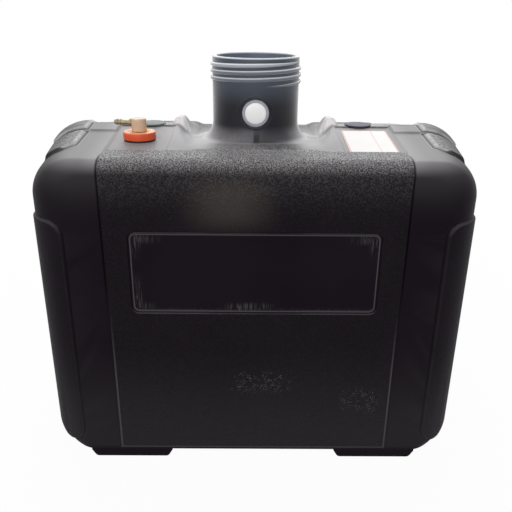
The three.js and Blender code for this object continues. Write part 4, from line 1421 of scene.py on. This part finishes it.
# Where the front is worn and where it gets painted highlights: the plate's rim and the band's sides
# and foot are painted highlights, the streaks and specks wear; specks are (left, right, low, high),
# and fade across and up
rubsAndHighlights = {
    "rim": (1.1, 2.3, 0.35), "nearEdge": (3.0, 10.0, 3.0),
    "streakScales": (900.0, 900.0, 70.0), "streakLevels": (0.42, 0.66),
    "cornersAcross": (84.0, 114.0), "cornersHeight": (232.0, 260.0),
    "leftAcross": (94.0, 118.0), "leftHeight": (184.0, 226.0),
    "middleAcross": (-24.0, 16.0, 10.0), "middleHeight": (184.0, 202.0),
    "lowLine": (180.5, 187.0),
    "specks": ((-24.0, 38.0, 88.0, 110.0), (95.0, 130.0, 63.0, 90.0)),
    "speckFades": (9.0, 6.0), "gritScale": 700.0, "gritLevels": (0.16, 0.34),
    "brokenNoise": (170.0, 3.0, 0.6), "brokenLevels": (0.46, 0.58),
    "sideInset": 1.3, "sideWidth": (0.3, 1.3), "sideTop": (90.0, 190.0), "sideFoot": (12.0, 15.0),
    "footRise": 1.6, "footWidth": (0.3, 1.2), "footEnd": 1.5,
}


# Wear on the front, with painted highlights on the plate's rim and the band's sides and foot
def wearAndHighlights(made, across, away, height):
    at = rubsAndHighlights
    inside = insidePlate(across, height)
    corners = abs(across).ramp(*at["cornersAcross"]) * height.ramp(*at["cornersHeight"])
    lowLeft = (across * -1).ramp(*at["leftAcross"]) * (1 - height.ramp(*at["leftHeight"]))
    lowMiddle = within(across, *at["middleAcross"]) * (1 - height.ramp(*at["middleHeight"]))
    lowLine = (1 - height.ramp(*at["lowLine"])) * scuffAndLight["lowLine"]
    places = corners.most(lowLeft).most(lowMiddle).most(lowLine)
    upright = made.streaks(at["streakScales"]).ramp(*at["streakLevels"])
    streaks = within(inside, *at["nearEdge"]) * places * upright * scuffAndLight["streak"]
    # A painted highlight round the plate's rim, and the worn streaks near it
    wearAndShine = within(inside, *at["rim"]) * scuffAndLight["rim"] + streaks
    grit = 1 - made.cells(at["gritScale"]).ramp(*at["gritLevels"])
    broken = made.noise(*at["brokenNoise"]).ramp(*at["brokenLevels"])
    acrossFade, heightFade = at["speckFades"]
    for left, right, low, high in at["specks"]:
        patch = within(across, left, right, acrossFade) * within(height, low, high, heightFade)
        wearAndShine = wearAndShine + patch * grit * broken * scuffAndLight["speck"]
    # Painted highlights down the band's sides and along its foot
    side = abs(abs(across) - (band["halfWidth"] - at["sideInset"]))
    sideLine = (1 - side.ramp(*at["sideWidth"])) * (1 - height.ramp(*at["sideTop"])) * (
        height.ramp(*at["sideFoot"]))
    foot = (1 - abs(height - (band["lip"] + at["footRise"])).ramp(*at["footWidth"])) * (
        1 - abs(across).ramp(band["halfWidth"] - at["footEnd"], band["halfWidth"]))
    wearAndShine = wearAndShine + sideLine.most(foot * scuffAndLight["foot"]) * scuffAndLight["edge"]
    return wearAndShine * frontOnly(away)


# The black plastic: its grain, dust and wear, and the painted sheen, highlights and shade laid on it
plastic = {
    "pebble": (860, 2.0, 0.55), "pebbleLevels": (0.38, 0.64), "peel": (150, 1.0, 0.4),
    "ends": (168.0, 205.0), "sheenUpward": (-0.05, 0.95), "topSheenHeight": (319.0, 335.0),
    "topSheenAcross": (145.0, 165.0), "padAcross": (172.0, 180.0), "padUpward": (0.3, 0.9),
    "fromNeck": (58.0, 112.0), "neckHeight": (322.0, 330.0), "neckAcross": (15.0, 55.0),
    "beforeNeck": (-46.0, 46.0, 10.0), "beforeNeckAway": (40.0, 58.0), "middle": (-8.0, 10.0),
    "beforeNeckScales": (420.0, 30.0, 30.0), "fadeHeight": (262.0, 330.0),
    "lowHeight": (10.0, 16.0), "lowEnd": (16.0, 150.0), "glowAcross": (-54.0, 6.0, 26.0),
    "glowHeight": (258.0, 286.0), "glowEnd": (300.0, 328.0), "cloudDust": (0.35, 0.7, 0.0, 0.002),
    "breakupNoise": (70.0, 4.0, 0.65), "breakupLevels": (0.3, 0.62, 0.55, 1.0), "coatUpward": (0.35, 0.97),
}


def tankFinish():
    at = plastic
    made = newFinish("tankPlastic")
    across, away, height = made.millimetres()
    mark, paintedShine, upward = made.attribute("grainAndShade"), made.attribute("paintedShine"), made.upward()
    # Above 0 the mark is grain; below 0 it is a groove's painted shade
    texture, crease = mark.most(0.0), (mark * -1).most(0.0)
    wide, radius = abs(across), across.hypot(away)
    peel, cloud = made.noise(*at["peel"]), made.mottle(9)
    bumps = made.noise(*at["pebble"]).ramp(*at["pebbleLevels"])
    # The grain breaks up the painted sheen, paler on its peaks
    salt = 1 + texture * (bumps * 1.4 - 0.7)

    # Painted sheen on the upward faces and high up, thinner at the ends, more on the grained pads and
    # round the neck's foot, and taken off in front of the neck as painted shade
    inner = 1 - wide.ramp(*at["ends"]) * 0.6
    topSheen = height.ramp(*at["topSheenHeight"]) * (1 - texture * 0.32) * (
        1 - wide.ramp(*at["topSheenAcross"]) * 0.45 * (1 - texture)) * scuffAndLight["topSheen"]
    lit = upward.ramp(*at["sheenUpward"]) * scuffAndLight["upwardSheen"] + topSheen
    onPad = texture * wide.ramp(*at["padAcross"]) * upward.ramp(*at["padUpward"])
    lit = (lit + onPad * scuffAndLight["pad"]) * inner + texture * scuffAndLight["grit"]
    nearNeck = (1 - radius.ramp(*at["fromNeck"])) * height.ramp(*at["neckHeight"])
    lit = lit + nearNeck * scuffAndLight["nearNeck"] * (0.45 + 0.55 * wide.ramp(*at["neckAcross"]))
    # In front of the neck, the painted sheen is taken off as painted shade
    beforeNeck = within(across, *at["beforeNeck"]) * (away * -1).ramp(*at["beforeNeckAway"]) * (
        1 - texture)
    shaded = made.streaks(at["beforeNeckScales"]).spread(0.7, 1.2) * (
        0.8 + 0.4 * across.ramp(*at["middle"]))
    lit = lit * (1 - beforeNeck * shaded * scuffAndLight["beforeNeck"])

    # The front's painted light, paler up towards the shoulders, and a painted warm reflection; a paler
    # zone towards the bottom, the grooves' painted shade, dust, wear and painted highlights
    front = frontOnly(away)
    # Painted light, paler up towards the shoulders
    fade = height.ramp(*at["fadeHeight"]).power(2.0) * scuffAndLight["fade"]
    low = height.ramp(*at["lowHeight"]) * (1 - height.ramp(*at["lowEnd"])) * scuffAndLight["low"] * front
    # A painted warm reflection on the front
    glow = within(across, *at["glowAcross"]) * height.ramp(*at["glowHeight"]) * (
        1 - height.ramp(*at["glowEnd"])) * front * scuffAndLight["glow"]
    # Painted sheen and the shoulders' painted light, taken off in grooves as painted shade, and a
    # faint dust
    sheenAndDust = (lit + fade * inner) * salt * (1 - crease * 0.85) + cloud.ramp(*at["cloudDust"])
    breakup = made.noise(*at["breakupNoise"]).ramp(*at["breakupLevels"])
    # Wear, the painted highlights on bevels, lips and ridges, and the front paler towards the bottom
    wearAndShine = wearAndHighlights(made, across, away, height) + paintedShine * breakup * scuffAndLight["paintedShine"] + low
    base = made.mixed(sheenAndDust + wearAndShine, colour(0.0042, 0.0024, 0.0050), colour(1.0, 0.98, 1.0))
    base = made.mixed(glow, base, colour(1.0, 0.88, 0.74))
    form = bumps * texture + peel * 0.20 * (1 - texture)
    coat = upward.ramp(*at["coatUpward"]) * (1 - crease) * salt * inner * 0.4
    return made.finish(colour=base, roughness=cloud.spread(0.48, 0.54),
                       normal=made.bumped(form, 0.00045), specular=0.055,
                       tint=colour(1.0, 0.92, 1.0), coat=coat, coatRoughness=0.5)


# The neck is slate at its thread and darker below. Its rib flanks and crests, top turn and rim get
# painted highlights; its foot gets pale dust and painted sheen, cut back in front as painted shade,
# and a painted shadow runs down from the port
slate = {
    "thread": 0.075, "foot": 0.30, "rim": 0.75, "inside": 0.14, "crest": 0.12, "flank": 0.75,
    "collar": 0.30,
    "boreRadius": (41.8, 42.8), "footHeight": (336.0, 350.0), "footScales": (420.0, 420.0, 16.0),
    "frontAway": (10.0, 40.0), "portShadow": (-2.0, 4.0, 1.5), "threadHeight": (365.0, 394.0),
    "ribRadius": (45.7, 46.4), "ribHeight": (384.0, 388.0), "flankUpward": (0.05, 0.6),
    "rimHeight": (413.8, 415.2), "collarHeight": (402.0, 408.0),
    "shadeAcross": (-8.0, 10.0), "shadeEnd": (30.0, 44.0),
}


def neckFinish():
    at = slate
    made = newFinish("neckPlastic")
    across, away, height = made.millimetres()
    mottle, upward, radius = made.mottle(30), made.upward(), across.hypot(away)
    front = (away * -1).ramp(*at["frontAway"])
    pale = height.ramp(*at["threadHeight"]) * at["thread"] + (
        1 - radius.ramp(*at["boreRadius"])) * at["inside"] + mottle.spread(0.0, 0.006)
    base = made.mixed(pale, colour(0.006, 0.005, 0.009), colour(0.62, 0.80, 1.0))
    # Painted highlights on the ribs' upper flanks and crests, the rim and the top turn
    onRib = radius.ramp(*at["ribRadius"]) * height.ramp(*at["ribHeight"])
    lit = onRib * (upward.ramp(*at["flankUpward"]) * at["flank"] + at["crest"])
    lit = lit + height.ramp(*at["rimHeight"]) * at["rim"]
    lit = lit + at["collar"] * onRib * height.ramp(*at["collarHeight"])
    base = made.mixed(lit, base, colour(0.90, 0.93, 1.0))
    # Pale dust and painted sheen on the foot, cut back in front as painted shade, with a painted
    # shadow down from the port
    foot = (1 - height.ramp(*at["footHeight"])) * made.streaks(at["footScales"]).spread(0.86, 1.14)
    shade = 0.55 + 0.3 * across.ramp(*at["shadeAcross"]) * (1 - across.ramp(*at["shadeEnd"]))
    portShadow = within(across, *at["portShadow"]) * front
    dustAndSheen = foot * (1 - front * shade) * (1 - portShadow * 0.9) * at["foot"]
    base = made.mixed(dustAndSheen, base, colour(1.0, 0.96, 0.98))
    return made.finish(colour=base, roughness=mottle.spread(0.36, 0.44),
                       normal=made.bumped(made.fineGrain(500), 0.00003), specular=0.30, sheen=1.0,
                       sheenRoughness=0.36, tint=colour(0.88, 0.92, 1.0))


# The nut's upper faces get a painted highlight, most of all in its dish
orange = {"upward": (0.35, 0.95), "upperShare": 0.75, "dishFade": 1.2, "dishShare": 0.9}


def orangeFinish():
    at = orange
    made = newFinish("orangePlastic")
    mottle = made.mottle(60)
    base = made.mixed(mottle.spread(), colour(0.74, 0.085, 0.022), colour(0.82, 0.115, 0.035))
    # A painted highlight on the upper faces
    base = made.mixed(made.upward().ramp(*at["upward"]) * at["upperShare"], base,
                      colour(0.95, 0.42, 0.18))
    across, away, _ = made.millimetres()
    axisX, axisY, _ = outlet["place"]
    fromAxis = (across - axisX).hypot(away - axisY)
    # A painted highlight in the dish
    dish = 1 - fromAxis.ramp(nut["dishRadius"], nut["dishRadius"] + at["dishFade"])
    base = made.mixed(dish * at["dishShare"], base, colour(1.0, 0.66, 0.36))
    return made.finish(colour=base, roughness=mottle.spread(0.36, 0.44),
                       normal=made.bumped(made.fineGrain(800), 0.00003), specular=0.5)


# Blank white film with a thin red border, and one line down it
film = {
    "border": (0.5, 1.3, 0.2), "borderShare": 0.85, "divider": 122.5, "lineHalf": 0.3,
    "lineFade": 0.2, "lineInside": (0.8, 1.2), "lineShare": 0.6,
}


def labelFinish():
    at = film
    made = newFinish("labelFilm")
    across, away, _ = made.millimetres()
    width, length = label["right"] - label["left"], label["front"] - label["back"]
    fromSide = width / 2 - abs(across - (label["left"] + label["right"]) / 2)
    fromEnd = length / 2 - abs(away + (label["back"] + label["front"]) / 2)
    inside = fromSide.least(fromEnd)
    border = within(inside, *at["border"]) * at["borderShare"]
    line = within(across, at["divider"] - at["lineHalf"], at["divider"] + at["lineHalf"],
                  at["lineFade"]) * inside.ramp(*at["lineInside"]) * at["lineShare"]
    mottle = made.mottle(40)
    base = made.mixed(mottle.spread(), colour(0.83, 0.80, 0.79), colour(0.87, 0.84, 0.83))
    base = made.mixed(border.most(line), base, colour(0.80, 0.10, 0.07))
    return made.finish(colour=base, roughness=mottle.spread(0.42, 0.5),
                       normal=made.bumped(made.fineGrain(560), 0.00002), specular=0.4)


def plainFinish(name, low, high, scale, roughness, specular=0.5, metal=0.0):
    made = newFinish(name)
    mottle, fine = made.mottle(scale), made.fineGrain(scale * 14)
    base = made.mixed(mottle.spread(), colour(*low), colour(*high))
    return made.finish(colour=base, roughness=mottle.spread(roughness - 0.03, roughness + 0.04),
                       normal=made.bumped(fine, 0.00003), specular=specular, metal=metal)


finishes = {
    "tank": tankFinish(),
    "neck": neckFinish(),
    "grey": plainFinish("greyRubber", (0.36, 0.35, 0.41), (0.42, 0.41, 0.47), 60, 0.6, 0.3),
    "white": plainFinish("whitePlastic", (0.96, 0.96, 0.97), (0.98, 0.98, 0.99), 40, 0.35),
    "label": labelFinish(),
    "natural": plainFinish("naturalNylon", (0.60, 0.42, 0.29), (0.70, 0.50, 0.35), 60, 0.4),
    "black": plainFinish("blackRubber", (0.010, 0.010, 0.011), (0.014, 0.014, 0.015), 60, 0.6, 0.3),
    "amber": plainFinish("amberNylon", (0.80, 0.34, 0.10), (0.86, 0.42, 0.14), 60, 0.4),
    "orange": orangeFinish(),
    "brass": plainFinish("barbBrass", (0.28, 0.235, 0.14), (0.37, 0.31, 0.19), 80, 0.42, metal=0.8),
    "steel": plainFinish("ringSteel", (0.25, 0.26, 0.28), (0.30, 0.31, 0.33), 80, 0.3, metal=1.0),
    "leftBlank": plainFinish("paleBlank", (0.13, 0.155, 0.145), (0.19, 0.22, 0.205), 50, 0.5, 0.2),
    "rightBlank": plainFinish("darkBlank", (0.035, 0.025, 0.05), (0.055, 0.042, 0.08), 50, 0.5, 0.2),
}
print("finishes: made")

settle(makeHalf("frontShell", -1), finishes["tank"], "tank", "front_half_shell")
settle(makeHalf("rearShell", 1), finishes["tank"], "tank", "rear_half_shell")
settle(makeNeck(), finishes["neck"], "tank", "filler_neck")
settle(makeThread(finishes["neck"]), finishes["neck"], "tank")
print("pieces: shells and neck")

settle(makePortGrommet(), finishes["grey"], "tank", "neck_port_grommet")
settle(makePortPlug(), finishes["white"], "neck_port_plug", "neck_port_plug")
settle(makeBulkhead(), finishes["amber"], "tank", "outlet_bulkhead")
settle(makeGasket(), finishes["black"], "tank", "outlet_gasket")
settle(makeNut(), finishes["orange"], "outlet_nut", "outlet_nut")
settle(makeElbow(), finishes["natural"], "elbow", "elbow_body")
settle(makeBarb(), finishes["brass"], "elbow", "hose_barb")
settle(makeLabel(), finishes["label"], "tank", "blank_label")
for word, side in (("left", -1), ("right", 1)):
    settle(makeSeal(word + "Seal", side), finishes["black"], "tank",
           word + "_port_seal")
    settle(makeBlank(word + "Blank", side), finishes[word + "Blank"], word + "_port_plug",
           word + "_port_plug")
print("pieces: port, outlet, blanks and label")

carried = {
    "pickup_tube": "natural", "pickup_strainer_cage": "natural", "pickup_strainer_mesh": "white",
    "elbow_o_ring": "black", "elbow_retaining_ring": "steel",
}
for node, finish in carried.items():
    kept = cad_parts[node]
    for place in kept.material_slots:
        place.link = "OBJECT"
        place.material = finishes[finish]

# Lamps are (place, size, power, tint). The floor's glow is glowNear of full up to glowStart metres
# from the middle, and full from glowFar metres on
studio = {
    "worldDiffuse": 0.38, "floorColour": 0.9, "floorHalf": 12.0,
    "glowStart": 0.3, "glowFar": 0.9, "glowNear": 0.96,
    "back": ((0.0, 2.2, 1.35), (3.0, 1.0), 25.0, (0.98, 1.0, 1.0)),
    "over": ((-0.2, 0.55, 1.75), (2.0, 0.8), 10.0, (1.0, 1.0, 1.0)),
    "front": ((-0.5, -2.3, 1.15), (2.2, 0.9), 27.0, (1.0, 0.98, 0.97)),
    "aim": (0.0, -0.1, 0.3),
}


def seenRays(made):
    path = made.node("ShaderNodeLightPath").socket.node
    rays = [Signal(made, path.outputs[name]) for name in (
        "Is Camera Ray", "Is Glossy Ray", "Is Transmission Ray")]
    return rays[0].most(rays[1]).most(rays[2])


def makeWorld():
    made = Recipe(bpy.data.worlds.new("studio"))
    dim, bright = [made.node("ShaderNodeBackground", inputs={
        "Color": colour(1, 1, 1), "Strength": strength,
    }) for strength in (studio["worldDiffuse"], 1.0)]
    both = made.node("ShaderNodeMixShader", inputs={0: seenRays(made), 1: dim, 2: bright})
    made.node("ShaderNodeOutputWorld", inputs={"Surface": both}, output=None)
    bpy.context.scene.world = made.owner


def makeFloor():
    made = newFinish("studioFloor")
    pale = colour(*[studio["floorColour"]] * 3)
    matt = made.node("ShaderNodeBsdfDiffuse", inputs={"Color": pale})
    glow = made.node("ShaderNodeEmission", inputs={"Color": colour(1, 1, 1), "Strength": 1.0})
    across, along, _ = made.axes()
    share = across.hypot(along).ramp(
        studio["glowStart"], studio["glowFar"], studio["glowNear"], 1.0)
    both = made.node("ShaderNodeMixShader", inputs={0: seenRays(made) * share, 1: matt, 2: glow})
    made.node("ShaderNodeOutputMaterial", inputs={"Surface": both}, output=None)
    half = studio["floorHalf"]
    mesh = bpy.data.meshes.new("floor")
    mesh.from_pydata([(-half, -half, 0), (half, -half, 0), (half, half, 0), (-half, half, 0)],
                     [], [(0, 1, 2, 3)])
    mesh.materials.append(made.owner)
    floor = bpy.data.objects.new("floor", mesh)
    bpy.context.scene.collection.objects.link(floor)


def makeLamp(name):
    place, size, power, tint = studio[name]
    data = bpy.data.lights.new(name + "Lamp", "AREA")
    data.shape = "RECTANGLE"
    data.size, data.size_y = size
    data.energy, data.color = power, tint
    lamp = bpy.data.objects.new(name + "Lamp", data)
    lamp.location = place
    lamp.visible_camera = False
    lamp.rotation_euler = (Vector(studio["aim"]) - Vector(place)).to_track_quat("-Z", "Y").to_euler()
    bpy.context.scene.collection.objects.link(lamp)


makeWorld()
makeFloor()
for lamp in ("back", "over", "front"):
    makeLamp(lamp)
print("studio: floor and lamps")
